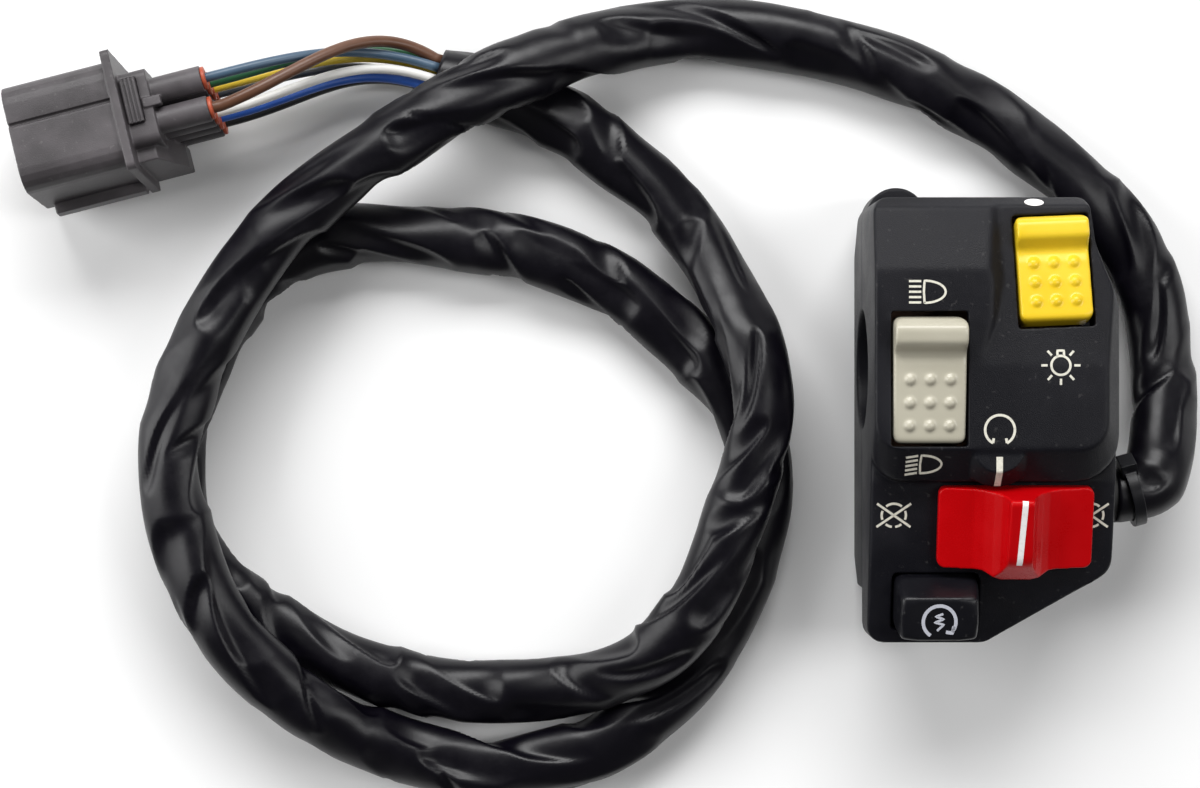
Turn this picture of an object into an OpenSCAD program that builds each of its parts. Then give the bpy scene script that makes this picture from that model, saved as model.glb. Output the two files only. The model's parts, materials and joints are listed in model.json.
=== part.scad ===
// Left-hand switch cluster for a handlebar, with its harness and connector.
// The bore axis is X, the switches face +Z and the cluster lies on its flat back.

/* [Handlebar] */
// Diameter of the handlebar tube
bar_d = 22.2; // [20:0.1:24]
// Radial clearance of the clamp bore
bar_gap = 0.1; // [0:0.05:0.2]

/* [Housing] */
// Width along the bar
body_w = 44.4; // [42:0.2:48]
// Reach above the bar's axis
top_reach = 31; // [30:0.5:34]
// Reach below the bar's axis
bottom_reach = 50.2; // [49:0.2:54]
// Height of the pod's face above the bar's axis
pod_face = 25; // [24.5:0.1:28]
// Distance from the bar's axis down to the pod's foot
pod_foot = 20.3; // [19.5:0.1:21.5]
// Height of the lower plate at the pod's foot
plate_rise = 17.5; // [17:0.1:18.5]
// Slope of the lower plate in degrees
plate_tilt = 15; // [12:1:18]
// Depth of the rear half behind the bar's axis
rear_depth = 16.5; // [16:0.1:20]
// Reach of the rear half below the bar's axis
rear_reach = 41; // [40:0.5:44]
// Wall thickness
wall = 2.2; // [1.8:0.1:2.6]
// Radius of the outline's corners
corner_r = 3; // [2:0.5:4]
// Height of the housing's end saddles along the bar
saddle_t = 3.2; // [2.6:0.1:5]

/* [Rockers] */
// Width of both rockers
rocker_w = 13; // [11:0.1:13.4]
// Length of the dimmer rocker
dimmer_len = 22.6; // [20:0.2:23]
// Length of the light rocker
light_len = 19; // [18:0.2:21]
// Half of a rocker's swing in degrees
rocker_swing = 5.5; // [3:0.5:6]
// Gap between a rocker and its well
well_gap = 0.35; // [0.3:0.05:0.6]
// Depth of a rocker's pivot below the face around it
pivot_depth = 4; // [3.8:0.1:4.5]
// Diameter of the pivot pins
pin_d = 2.5; // [2:0.1:3]
// Running clearance of a pin, radial
pin_gap = 0.05; // [0.03:0.01:0.1]
// Distance from the left wall to the dimmer rocker's middle
dimmer_inset = 9.8; // [9.6:0.1:10.6]
// Height of the dimmer rocker's middle relative to the bar's axis
dimmer_y = -1.9; // [-3:0.1:0]
// Distance from the right wall to the light rocker's middle
light_inset = 12.2; // [11.8:0.1:13]
// Distance from the top down to the light rocker's middle
light_drop = 13.5; // [13:0.1:15]
// Turn of the light rocker against the housing in degrees
light_turn = 2.5; // [0:0.5:4]
// Slope of the zone round the light rocker in degrees
zone_tilt = 8; // [6:1:10]

/* [Stop slide] */
// Width over the wings
slide_w = 28; // [24:0.2:29]
// Length of the wings along the plate
slide_len = 15.1; // [14:0.1:16]
// Length of the crest's nose past the wings
nose_len = 1.6; // [1:0.1:1.8]
// Height of the crest over the plate
crest_h = 10.8; // [8:0.1:12]
// Travel from run to either off
slide_step = 3.9; // [3:0.1:4.1]
// Gap between the slide and the plate
slide_gap = 0.4; // [0.3:0.05:0.6]

/* [Start button] */
// Width of the button
button_w = 15.2; // [13:0.1:16]
// Length of the button along the plate
button_len = 10.4; // [9:0.1:10.8]
// Height of the button over the plate
button_h = 7.8; // [6:0.1:9]
// Travel of the button
button_travel = 2; // [1.5:0.1:2.1]
// Distance from the left wall to the button's middle
button_inset = 12.3; // [12:0.1:13]
// Distance along the plate from the pod's foot to the button's middle
button_drop = 23.1; // [22.6:0.1:23.4]

/* [Fasteners] */
// Diameter of the clamp screws
clamp_screw_d = 5; // [4:0.5:5.5]
// Diameter of the small board screws
board_screw_d = 2.5; // [2:0.1:2.8]

/* [Cable exit] */
// Distance of the cable exit below the bar's axis
exit_drop = 23.5; // [22:0.5:25]
// Diameter of the grommet's neck
neck_d = 9.2; // [8:0.1:10]
// Length of the grommet's neck outside the wall
neck_len = 2.8; // [2.6:0.1:4]
// Outer diameter of the harness sleeve
sleeve_d = 10.5; // [8:0.1:10.5]

/* [Connector] */
// Width of the connector's shroud
shroud_w = 20.4; // [19:0.1:22]
// Height of the connector's shroud
shroud_h = 23.5; // [22.5:0.1:26]
// Length of the shroud in front of the flange
shroud_len = 19.6; // [16:0.1:24]
// Wall of the shroud
shroud_wall = 1.6; // [1.2:0.1:1.8]
// Distance that the flange stands out past the shroud
flange_lip = 1.3; // [1:0.1:2.5]
// Distance between wire columns
cavity_x = 5.8; // [5.2:0.1:6]
// Distance between wire rows
cavity_y = 4.8; // [4.6:0.1:5]
// Diameter of the thin wires
wire_d = 1.8; // [1.4:0.1:2]
// Diameter of the thick wire
thick_wire_d = 2.2; // [1.8:0.1:2.3]

/* [Hidden] */
$fn = 48;
eps = 0.01;
half_w = body_w / 2;
bore_r = bar_d / 2 + bar_gap;
floor_z = -rear_depth;

// Rounded outlines: each corner is [x, y, radius].
function unit(v) = v / norm(v);
function turned(v, a) = [v[0] * cos(a) - v[1] * sin(a), v[0] * sin(a) + v[1] * cos(a)];
function flat(p) = [p[0], p[1]];
function corner_arc(a, b, c, r, n) =
    r <= 0 ? [b] :
    let (u = unit(a - b), v = unit(c - b), half = acos(u * v) / 2,
        middle = b + unit(u + v) * r / sin(half),
        from = b + u * r / tan(half) - middle,
        way = cross(b - a, c - b) > 0 ? 1 : -1)
    [for (i = [0:n]) middle + turned(from, way * (180 - 2 * half) * i / n)];
function rounded(p, n = 5) =
    let (m = len(p))
    [for (i = [0:m - 1])
        each corner_arc(flat(p[(i + m - 1) % m]), flat(p[i]), flat(p[(i + 1) % m]), p[i][2], n)];
function box_points(w, h, r) =
    [[-w / 2, -h / 2, r], [w / 2, -h / 2, r], [w / 2, h / 2, r], [-w / 2, h / 2, r]];

// Tubes swept along points, with a steady upright reference.
function tangent(p, i) = unit(p[min(i + 1, len(p) - 1)] - p[max(i - 1, 0)]);
function ring(p, i, r, n) =
    let (t = tangent(p, i), side = unit(cross(t, [0, 0, 1])), up = cross(side, t))
    [for (k = [0:n - 1]) p[i] + r * (side * cos(360 * (k + 0.5) / n) + up * sin(360 * (k + 0.5) / n))];
module sweep(p, r, n) {
    rings = len(p);
    polyhedron(
        points = [for (i = [0:rings - 1]) each ring(p, i, r, n)],
        faces = concat(
            [[for (k = [n - 1:-1:0]) k]],
            [for (i = [0:rings - 2]) for (k = [0:n - 1])
                [i * n + k, i * n + (k + 1) % n, (i + 1) * n + (k + 1) % n]],
            [for (i = [0:rings - 2]) for (k = [0:n - 1])
                [i * n + k, (i + 1) * n + (k + 1) % n, (i + 1) * n + k]],
            [[for (k = [0:n - 1]) (rings - 1) * n + k]]));
}
function spline(a, b, c, d, t) =
    0.5 * (2 * b + (c - a) * t + (2 * a - 5 * b + 4 * c - d) * t * t + (3 * b - a - 3 * c + d) * t * t * t);
function at_route(p, s) =
    let (m = len(p), i = min(floor(s), m - 2))
    spline(p[max(i - 1, 0)], p[i], p[i + 1], p[min(i + 2, m - 1)], s - i);
function along_route(p, count) = [for (i = [0:count - 1]) at_route(p, i * (len(p) - 1) / (count - 1))];
function curl(r, length, turns, steps) =
    [for (i = [0:turns * steps])
        [r * cos(360 * i / steps), r * sin(360 * i / steps), length * i / turns / steps]];

module along_x(x0, x1) translate([x0, 0, 0]) rotate([90, 0, 90]) linear_extrude(x1 - x0) children();
module along_y(y0, y1) translate([0, y1, 0]) rotate([90, 0, 0]) linear_extrude(y1 - y0) children();
module rod_x(x0, x1, r) translate([x0, 0, 0]) rotate([0, 90, 0]) cylinder(h = x1 - x0, r = r);

// Housing outline, seen from the front
shoulder_y = 22.5;
bulge_y = 11;
diagonal_x = -0.6;
diagonal_y = -36.9;
diagonal_inset = 0.55;
top_right_x = half_w - 5.6;
shoulder_x = half_w - 4.6;
function plan_points(inset) = [
    [-half_w + inset, top_reach - inset, corner_r], [-half_w + inset, inset - bottom_reach, corner_r],
    [diagonal_x - inset * diagonal_inset / 2, inset - bottom_reach, 4],
    [half_w - inset, diagonal_y + inset * diagonal_inset, 4],
    [half_w - inset, bulge_y, 6], [shoulder_x - inset, shoulder_y, 6],
    [top_right_x - inset, top_reach - inset, 1.6]];
module plan(inset) polygon(rounded(plan_points(inset)));
pod_corner_left = 5.5;
pod_corner_right = 8;
function pod_points() = [
    [-half_w, top_reach, corner_r], [-half_w, -pod_foot, pod_corner_left],
    [half_w, -pod_foot, pod_corner_right], [half_w, bulge_y, 6],
    [shoulder_x, shoulder_y, 6], [top_right_x, top_reach, 1.6]];

// Pod relief, in side view
shelf_y = 17.6;
shelf_drop = 3.4;
bevel_run = 2;
bevel_drop = 4;
band_run = 5.8;
band_drop = 4.5;
pod_side_run = 2.8;
pod_face_r = 5;
keeper_r = 4.6;
step_lean = 50;
zone_y = 0.5;
shelf_end = top_reach - bevel_run;
shelf_low = pod_face - shelf_drop;
plate_low = plate_rise - (bottom_reach - pod_foot) * tan(plate_tilt);
function plate_under(y) = plate_rise + (y + pod_foot) * tan(plate_tilt) - wall / cos(plate_tilt);
function zone_z(y) = pod_face - (y - zone_y) * tan(zone_tilt);

// Seats of the moving pieces
dimmer_x = dimmer_inset - half_w;
light_x = half_w - light_inset;
light_face_y = top_reach - light_drop;
dimmer_pivot = [dimmer_x, dimmer_y, pod_face - pivot_depth];
light_pivot = [light_x, light_face_y - pivot_depth * sin(zone_tilt),
    zone_z(light_face_y) - pivot_depth * cos(zone_tilt)];
well_w = rocker_w + 2 * well_gap;
well_end = 0.8;
lug_t = 2;
lug_inner = well_w / 2 + 0.1;
lug_h = 3.4;
lug_half = 2.6;
pin_seat = 3;
pin_press = 0.02;

// Contact board over the bar
board_t = 1.2;
board_z = bore_r + 0.3;
board_top = board_z + board_t;
board_edge = 0.3;
board_left = saddle_t + board_edge - half_w;
board_low_y = -17.5;
board_left_top = 19.5;
board_notch_x = 12.5;
post_r = 2.4;
screw_grip = 4;
screw_head_r = 2.1;
screw_head_h = 1.2;
right_inset = 10.2;
post_drop = 7;
post_past = 5.2;
board_posts = [[-1.2, top_reach - post_drop], [half_w - right_inset, -8.5],
    [dimmer_x, dimmer_y + dimmer_len / 2 + post_past]];

// Stop slide and start button, in the plate's own frame
slide_top = 0.6;
wing_h = 2.6;
stem_w = 6;
stem_len = 4.6;
stem_v = -7.6;
carrier_w = 16;
carrier_len = 8.4;
carrier_top = -wall - 0.3;
carrier_t = 4.4;
carrier_bottom = carrier_top - carrier_t;
base_top = carrier_bottom - 0.7;
base_t = 1.4;
base_w = 33;
base_post_x = 14.6;
ball_r = 1.5;
ball_depth = 3.97;
ball_x = 5.4;
button_x = button_inset - half_w;
button_gap = 0.35;
flange_top = -wall - 0.4;
flange_t = 1.4;
flange_side = 1.2;
button_under = flange_top - flange_t;
strip_t = 0.4;
start_base_top = button_under - strip_t - button_travel - 0.5;
start_base_t = 1;

// Clamp screws
upper_screw = [-half_w + 6.4, top_reach - 5.8];
lower_screw = [half_w - right_inset, -36.4];
boss_r = 4;
screw_clear = 0.2;
clamp_head_r = clamp_screw_d * 0.9;
clamp_head_h = clamp_screw_d * 0.6;
clamp_seat_z = -7;
clamp_grip = 10;
lug_r = 5.6;
lug_y = top_reach - 2.6;

// Cable exit
exit_r = neck_d / 2 + 0.5;
exit_lip = 1.7;
tie_t = 1.1;
tie_w = 2.2;
tie_r = sleeve_d / 2 + 0.06;
neck_end = half_w + neck_len;
tie_ends = [[neck_end + 1.6, 0.14 - exit_drop, 0], [neck_end + 4.5, 0.94 - exit_drop, 0]];
tie_way = tie_ends[1] - tie_ends[0];

module plate_frame() translate([0, -pod_foot, plate_rise]) rotate([plate_tilt, 0, 0]) children();
module dimmer_frame() translate(dimmer_pivot) children();
module light_frame() translate(light_pivot) rotate([-zone_tilt, 0, 0]) rotate([0, 0, light_turn]) children();

// Front half
module side_profile() polygon([
    [top_reach, 0], [top_reach, shelf_low - bevel_drop], [shelf_end, shelf_low], [shelf_y, pod_face],
    [band_run - pod_foot, pod_face], [-pod_foot, pod_face - band_drop], [-pod_foot, 0]]);
module low_profile() polygon([
    [top_reach, 0], [top_reach, shelf_low - bevel_drop], [-pod_foot, plate_rise],
    [-bottom_reach, plate_low], [-bottom_reach, 0]]);
module pod_layer(foot, side, r_left, r_right) polygon(rounded([
    [-half_w, top_reach + 9, 0], [-half_w, foot, r_left], [side, foot, r_right], [side, top_reach + 9, 0]]));
module pod_taper() hull() {
    linear_extrude(pod_face - band_drop) pod_layer(-pod_foot, half_w, pod_corner_left, pod_corner_right);
    translate([0, 0, pod_face]) linear_extrude(eps)
        pod_layer(band_run - pod_foot, half_w - pod_side_run, pod_face_r, pod_face_r);
}
module zone_cut(drop, spread) intersection() {
    along_x(-body_w, body_w) polygon([
        [zone_y, pod_face - drop], [zone_y, pod_face + 9], [top_reach + 9, pod_face + 9],
        [top_reach + 9, zone_z(top_reach + 9) - drop]]);
    translate([0, 0, pod_face]) rotate([0, -step_lean, 0]) linear_extrude(4 * pod_face, center = true)
        scale([cos(step_lean), 1]) polygon(rounded([
            [-3.4 - spread, zone_y, 0], [half_w + 9, zone_y, 0], [half_w + 9, top_reach + 9, 0],
            [-5.2 - spread, top_reach + 9, 0], [-4.8 - spread, shelf_end, 0],
            [-1.2 - spread, shelf_y - 2, 6], [-1.4 - spread, shelf_y - 9, 6]]));
}
module corner_keeper() translate([half_w - pod_corner_right, pod_corner_right - pod_foot, plate_rise - 1])
    difference() {
        translate([0, -pod_corner_right, 0]) cube([pod_corner_right, pod_corner_right, pod_face]);
        translate([0, 0, -1]) cylinder(h = pod_face + 2, r = keeper_r);
    }
tongue_r = 7.3;
tongue_top_r = 4.6;
tongue_rise = 3.8;
module front_outer() {
    intersection() {
        linear_extrude(pod_face) plan(0);
        along_x(-half_w, half_w) low_profile();
    }
    difference() {
        intersection() {
            linear_extrude(pod_face + 1) polygon(rounded(pod_points()));
            along_x(-half_w, half_w) side_profile();
            pod_taper();
        }
        zone_cut(0, 0);
    }
    translate([0, tongue_r - pod_foot - 1, pod_face - tongue_rise])
        cylinder(h = tongue_rise - 0.4, r1 = tongue_r, r2 = tongue_top_r);
}
module front_cavity() difference() {
    intersection() {
        translate([0, 0, -1]) linear_extrude(pod_face + 1) plan(wall);
        along_x(-half_w, half_w) polygon([
            [top_reach, -1], [top_reach, shelf_low - bevel_drop], [shelf_end, shelf_low - wall],
            [shelf_y, pod_face - wall], [band_run - pod_foot, pod_face - wall],
            [wall - pod_foot, pod_face - band_drop - wall], [wall - pod_foot, plate_under(wall - pod_foot)],
            [-bottom_reach, plate_under(-bottom_reach)], [-bottom_reach, wall],
            [wall - rear_reach, wall], [wall - rear_reach, -1]]);
    }
    intersection() {
        zone_cut(wall, wall);
        linear_extrude(pod_face) plan(0);
    }
    corner_keeper();
}
module lugs() for (s = [-1, 1])
    translate([s * (lug_inner + lug_t / 2) - lug_t / 2, -lug_half, -lug_h])
        cube([lug_t, 2 * lug_half, lug_h + pivot_depth - wall / 2]);
module well(length) translate([0, 0, -lug_h]) linear_extrude(pivot_depth + lug_h + 9)
    polygon(rounded(box_points(well_w, length + 2 * well_end, 0.5)));
module lug_bores() for (s = [-1, 1])
    scale([s, 1, 1]) rod_x(lug_inner - 1, lug_inner + lug_t - 0.3, pin_d / 2 + pin_press);
module wells(length) {
    intersection() {
        well(length);
        translate([-well_w, -length, -lug_h]) cube([2 * well_w, 2 * length, pivot_depth + lug_h + 9]);
    }
}
module post(x, y, top) translate([x, y, board_top]) cylinder(h = top - board_top, r = post_r);
module saddle(x0) intersection() {
    translate([x0, 0, 0]) rod_x(0, saddle_t, bore_r + wall + 2);
    translate([x0, -half_w, 0]) cube([saddle_t, body_w, pod_face]);
}
module start_pad() intersection() {
    plate_frame()
        translate([button_x - button_w / 2, -button_drop - button_len / 2, start_base_top - start_base_t - 9])
        cube([button_w, button_len, 9]);
    translate([-half_w, -bottom_reach + 1, wall / 2])
        cube([body_w, bottom_reach - rear_reach + wall, plate_rise]);
}
module front_housing() color("#1c1c1e") difference() {
    union() {
        difference() {
            front_outer();
            front_cavity();
        }
        intersection() {
            union() {
                dimmer_frame() lugs();
                light_frame() lugs();
                post(board_posts[0][0], board_posts[0][1], pod_face - wall / 2);
                post(board_posts[1][0], board_posts[1][1], pod_face - wall / 2);
                post(board_posts[2][0], board_posts[2][1], pod_face - wall / 2);
                translate([upper_screw[0], upper_screw[1], 0]) cylinder(h = shelf_low - wall / 2, r = boss_r);
                translate([lower_screw[0], lower_screw[1], 0]) cylinder(h = plate_low, r = boss_r);
                saddle(-half_w);
                saddle(half_w - saddle_t);
                for (s = [-1, 1]) plate_frame() translate([s * base_post_x, stem_v, base_top])
                    cylinder(h = -base_top - wall / 2, r = post_r);
                start_pad();
            }
            front_outer();
        }
    }
    rod_x(-half_w - 1, half_w + 1, bore_r);
    dimmer_frame() wells(dimmer_len);
    light_frame() wells(light_len);
    dimmer_frame() lug_bores();
    light_frame() lug_bores();
    for (p = board_posts) translate([p[0], p[1], board_top - eps])
        cylinder(h = screw_grip, r = board_screw_d / 2);
    for (p = [upper_screw, lower_screw]) translate([p[0], p[1], -1])
        cylinder(h = clamp_grip + 1, r = clamp_screw_d / 2 + pin_press);
    plate_frame() {
        translate([-stem_w / 2 - slide_step - button_gap, stem_v - stem_len / 2 - button_gap, -wall - 1])
            cube([stem_w + 2 * (slide_step + button_gap), stem_len + 2 * button_gap, wall + 3]);
        translate([button_x, -button_drop, -wall - 1.4]) linear_extrude(wall + 9)
            polygon(rounded(box_points(button_w + 2 * button_gap, button_len + 2 * button_gap, 1)));
        for (s = [-1, 1]) translate([s * base_post_x, stem_v, base_top - eps])
            cylinder(h = screw_grip - 1, r = board_screw_d / 2);
    }
    translate([half_w - saddle_t - 1, -exit_drop, 0]) rod_x(0, saddle_t + 2, exit_r);
}

// Rear half
module rear_profile() polygon([
    [top_reach, 0], [top_reach, -7], [top_reach - 9, floor_z], [5 - rear_reach, floor_z],
    [-rear_reach, floor_z + 6.5], [-rear_reach, 0]]);
module rear_pocket(y0, y1) intersection() {
    translate([0, 0, floor_z]) linear_extrude(rear_depth + 1) plan(wall);
    translate([-half_w, y0, floor_z + wall]) cube([body_w, y1 - y0, rear_depth]);
}
saddle_y = bore_r + 2.6;
module rear_housing() color("#1c1c1e") difference() {
    union() {
        intersection() {
            translate([0, 0, floor_z]) linear_extrude(rear_depth) plan(0);
            along_x(-half_w, half_w) rear_profile();
        }
        translate([upper_screw[0], lug_y, clamp_seat_z - 5]) cylinder(h = 5 - clamp_seat_z, r = lug_r);
    }
    rod_x(-half_w - 1, half_w + 1, bore_r);
    difference() {
        union() {
            rear_pocket(saddle_y, top_reach - 9.5);
            rear_pocket(wall + 2.2 - rear_reach, -saddle_y);
        }
        translate([lower_screw[0], lower_screw[1], floor_z]) cylinder(h = rear_depth, r = boss_r + 2);
    }
    for (p = [upper_screw, lower_screw]) translate([p[0], p[1], floor_z - 1]) {
        cylinder(h = rear_depth + 2, r = clamp_screw_d / 2 + screw_clear);
        cylinder(h = clamp_seat_z - floor_z + 1, r = clamp_head_r + 0.4);
    }
    translate([half_w - saddle_t - 1, -exit_drop, 0]) rod_x(0, saddle_t + 2, exit_r);
}
module clamp_screws() color("silver") for (p = [upper_screw, lower_screw])
    translate([p[0], p[1], clamp_seat_z]) difference() {
        union() {
            cylinder(h = clamp_grip - clamp_seat_z - 1, r = clamp_screw_d / 2 - 0.05);
            translate([0, 0, -clamp_head_h]) cylinder(h = clamp_head_h, r = clamp_head_r);
        }
        for (a = [0, 90]) translate([0, 0, -clamp_head_h]) rotate([0, 0, a])
            cube([clamp_head_r * 1.2, 1, 3], center = true);
    }

// Contact board
module contact_board() color("#6b4423") difference() {
    translate([0, 0, board_z]) linear_extrude(board_t) polygon([
        [board_left, board_low_y], [half_w - wall - 3, board_low_y],
        [half_w - wall - 3, 8], [top_right_x - wall - board_edge, top_reach - wall - 1.2],
        [-half_w + board_notch_x, top_reach - wall - 1.2], [-half_w + board_notch_x, board_left_top],
        [board_left, board_left_top]]);
    for (p = board_posts) translate([p[0], p[1], board_z - 1])
        cylinder(h = board_t + 2, r = board_screw_d / 2 + 0.1);
}
module small_screw() {
    cylinder(h = screw_head_h, r = screw_head_r);
    translate([0, 0, screw_head_h]) cylinder(h = board_t + screw_grip - 1.2, r = board_screw_d / 2 - 0.05);
}
module board_screws() color("silver") {
    for (p = board_posts) translate([p[0], p[1], board_z - screw_head_h]) small_screw();
    for (s = [-1, 1]) plate_frame()
        translate([s * base_post_x, stem_v, base_top - base_t - screw_head_h]) small_screw();
}

// Rocker switches
ridge_top = 7.6;
pad_low = 4.2;
pad_rise = 4.7;
pad_end = 8.4;
leg_w = 4.8;
leg_low = -2.8;
tip_low = -3.6;
plunger_r = 1.4;
plunger_top = -1.2;
bridge_top = -3.85;
bridge_t = 0.4;
bridge_len = 9;
bridge_w = 3;
fulcrum_r = 0.38;
bridge_share = 0.45;
contact_y = 3.6;
contact_r = 1;
bridge_pivot_z = bridge_top - bridge_t;
contact_drop = contact_y * sin(rocker_swing * bridge_share) + 0.12;
module rocker_shape(length) along_x(-rocker_w / 2, rocker_w / 2) {
    e = length / 2;
    polygon(rounded([
        [-e, -1.2, 0.6], [-leg_w / 2, -1.2, 0], [-leg_w / 2, leg_low, 0.4], [leg_w / 2, leg_low, 0.4],
        [leg_w / 2, -1.2, 0], [e, -1.2, 0.6], [e, 5.2, 1.2], [e - 1.3, ridge_top, 1.5],
        [e - 4.4, ridge_top - 0.2, 1.7], [e - 6.2, 4.5, 1.4], [e - pad_end, pad_rise, 2], [-e, pad_low, 1]]));
}
rocker_corner_r = 1.3;
dot_column = 3.57;
dot_r = 1.25;
dot_sink = 0.62;
function pad_z(length, y) = pad_low + (pad_rise - pad_low) * (y + length / 2) / (length - pad_end);
module rocker(length, dot_row, dot_middle) difference() {
    union() {
        intersection() {
            rocker_shape(length);
            translate([0, 0, leg_low - 1]) linear_extrude(ridge_top - leg_low + 2)
                polygon(rounded(box_points(rocker_w, length, rocker_corner_r)));
        }
        for (i = [-1, 0, 1]) for (j = [-1, 0, 1]) let (y = j * dot_row + dot_middle - length / 2)
            translate([i * dot_column, y, pad_z(length, y) - dot_sink]) sphere(r = dot_r, $fn = 24);
    }
    for (s = [-1, 1]) scale([s, 1, 1])
        rod_x(rocker_w / 2 - pin_seat - 0.2, rocker_w / 2 + 1, pin_d / 2 + pin_gap);
    translate([0, 0, leg_low - 1]) cylinder(h = 2.8 - leg_low + 1, r = plunger_r + 0.1);
}
module pivot_pins() for (s = [-1, 1])
    scale([s, 1, 1]) rod_x(rocker_w / 2 - pin_seat, lug_inner + lug_t - 0.4, pin_d / 2);
module plunger() {
    translate([0, 0, tip_low + plunger_r]) cylinder(h = plunger_top - tip_low - plunger_r, r = plunger_r);
    translate([0, 0, tip_low + plunger_r]) sphere(r = plunger_r, $fn = 24);
}
spring_wire_r = 0.2;
module plunger_spring() translate([0, 0, plunger_top + spring_wire_r + 0.05])
    sweep(curl(plunger_r - spring_wire_r - 0.1, 2.6 - plunger_top - 3 * spring_wire_r, 5, 8),
        spring_wire_r, 6);
module bridge(lean) translate([0, 0, bridge_pivot_z]) rotate([lean, 0, 0]) {
    translate([-bridge_w / 2, -bridge_len / 2, 0]) cube([bridge_w, bridge_len, bridge_t]);
    rod_x(-bridge_w / 2, bridge_w / 2, fulcrum_r);
}
// Height over the board of a point in a pivot's own frame
function seat_z(pivot, tilt, y, z) = pivot[2] - y * sin(tilt) + z * cos(tilt);
function seat_y(pivot, tilt, y, z) = pivot[1] + y * cos(tilt) + z * sin(tilt);
module terminals(pivot, tilt, turn) for (j = [-1, 0, 1]) let (y = j * contact_y * cos(turn))
    translate([pivot[0] - j * contact_y * sin(turn), seat_y(pivot, tilt, y, bridge_pivot_z), board_top])
        cylinder(r = contact_r, h = seat_z(pivot, tilt, y + contact_r * sign(tilt), bridge_pivot_z)
            - board_top - (j == 0 ? fulcrum_r + 0.06 : contact_drop + 0.08)
            - contact_r * tan(tilt) * (j == 0 ? 0 : 0.2));
dimmer_lean = rocker_swing;
light_lean = -rocker_swing;
module dimmer_rocker() color("#e8dfc2") dimmer_frame() rotate([dimmer_lean, 0, 0])
    rocker(dimmer_len, 4.15, 7.45);
module dimmer_pivot_pins() color("silver") dimmer_frame() pivot_pins();
module dimmer_plunger() color("goldenrod") dimmer_frame() rotate([dimmer_lean, 0, 0]) plunger();
module dimmer_plunger_spring() color("silver") dimmer_frame() rotate([dimmer_lean, 0, 0]) plunger_spring();
module dimmer_contact_bridge() color("peru") dimmer_frame() bridge(-bridge_share * dimmer_lean);
module dimmer_terminals() color("goldenrod") terminals(dimmer_pivot, 0, 0);
module light_rocker() color("#f0c21e") light_frame() rotate([light_lean, 0, 0]) rocker(light_len, 3.5, 6.9);
module light_pivot_pins() color("silver") light_frame() pivot_pins();
module light_plunger() color("goldenrod") light_frame() rotate([light_lean, 0, 0]) plunger();
module light_plunger_spring() color("silver") light_frame() rotate([light_lean, 0, 0]) plunger_spring();
module light_contact_bridge() color("peru") light_frame() bridge(-bridge_share * light_lean);
module light_terminals() color("goldenrod") terminals(light_pivot, zone_tilt, light_turn);

// Engine stop slide
crest_half = 2.1;
flank_run = 7.6;
crest_run = 12.2;
crest_fall = 1.3;
nose_h = 4.6;
wing_foot = 3;
module crest_section() polygon(concat(
    [[-slide_w / 2, slide_gap], [slide_w / 2, slide_gap], [slide_w / 2, wing_h - 0.2]],
    [for (a = [0:15:90]) [crest_half + flank_run * (1 - sin(a)), crest_h - (crest_h - wing_foot) * cos(a)]],
    [for (a = [90:-15:0]) [-crest_half - flank_run * (1 - sin(a)), crest_h - (crest_h - wing_foot) * cos(a)]],
    [[-slide_w / 2, wing_h - 0.2]]));
module slide_frame() plate_frame() translate([slide_step, 0, 0]) children();
module stop_slide() color("#c3161c") slide_frame() difference() {
    union() {
        intersection() {
            along_y(-slide_top - slide_len - nose_len, -slide_top) crest_section();
            along_x(-slide_w, slide_w) polygon(rounded([
                [-slide_top, 0, 0], [-slide_top, crest_h, 0.8],
                    [-slide_top - crest_run, crest_h - crest_fall, 4],
                [-slide_top - slide_len - nose_len, nose_h, 1], [-slide_top - slide_len - nose_len, 0, 0]]));
            linear_extrude(crest_h + 1) polygon(rounded([
                [-slide_w / 2, -slide_top, 1.4], [-slide_w / 2, -slide_top - slide_len, 1.4],
                [-6, -slide_top - slide_len, 2], [-2.6, -slide_top - slide_len - nose_len, 1.2],
                [2.6, -slide_top - slide_len - nose_len, 1.2], [6, -slide_top - slide_len, 2],
                [slide_w / 2, -slide_top - slide_len, 1.4], [slide_w / 2, -slide_top, 1.4]]));
        }
        translate([-stem_w / 2, stem_v - stem_len / 2, carrier_top])
            cube([stem_w, stem_len, slide_gap + 1 - carrier_top]);
    }
    translate([0, stem_v, carrier_top - 1]) cylinder(h = 5, r = board_screw_d / 2);
}
module stop_carrier() color("#2a2a2c") slide_frame() difference() {
    translate([-carrier_w / 2, stem_v - carrier_len / 2, carrier_bottom])
        cube([carrier_w, carrier_len, carrier_top - carrier_bottom]);
    translate([0, stem_v, carrier_bottom - 1]) cylinder(h = 9, r = board_screw_d / 2 + 0.1);
    translate([0, stem_v, carrier_bottom - 1]) cylinder(h = 1 + screw_head_h, r = screw_head_r + 0.1);
    translate([ball_x, stem_v, carrier_bottom - 1]) cylinder(h = 1 + ball_depth, r = ball_r + 0.1);
    translate([-carrier_w / 2 + 1, stem_v - 1.5, carrier_bottom - 1]) cube([3, 3, 1 + strip_t]);
}
module stop_carrier_screw() color("silver") slide_frame() translate([0, stem_v, carrier_bottom]) {
    cylinder(h = screw_head_h, r = screw_head_r);
    translate([0, 0, screw_head_h]) cylinder(h = carrier_t + 1.8, r = board_screw_d / 2 - 0.05);
}
module stop_detent_ball() color("silver") slide_frame()
    translate([ball_x, stem_v, base_top + ball_r + 0.2]) sphere(r = ball_r, $fn = 24);
module stop_detent_spring() color("silver") slide_frame()
    translate([ball_x, stem_v, base_top + 2 * ball_r + 0.37])
        sweep(curl(ball_r - 0.35, 1.1, 3, 8), 0.15, 6);
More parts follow.
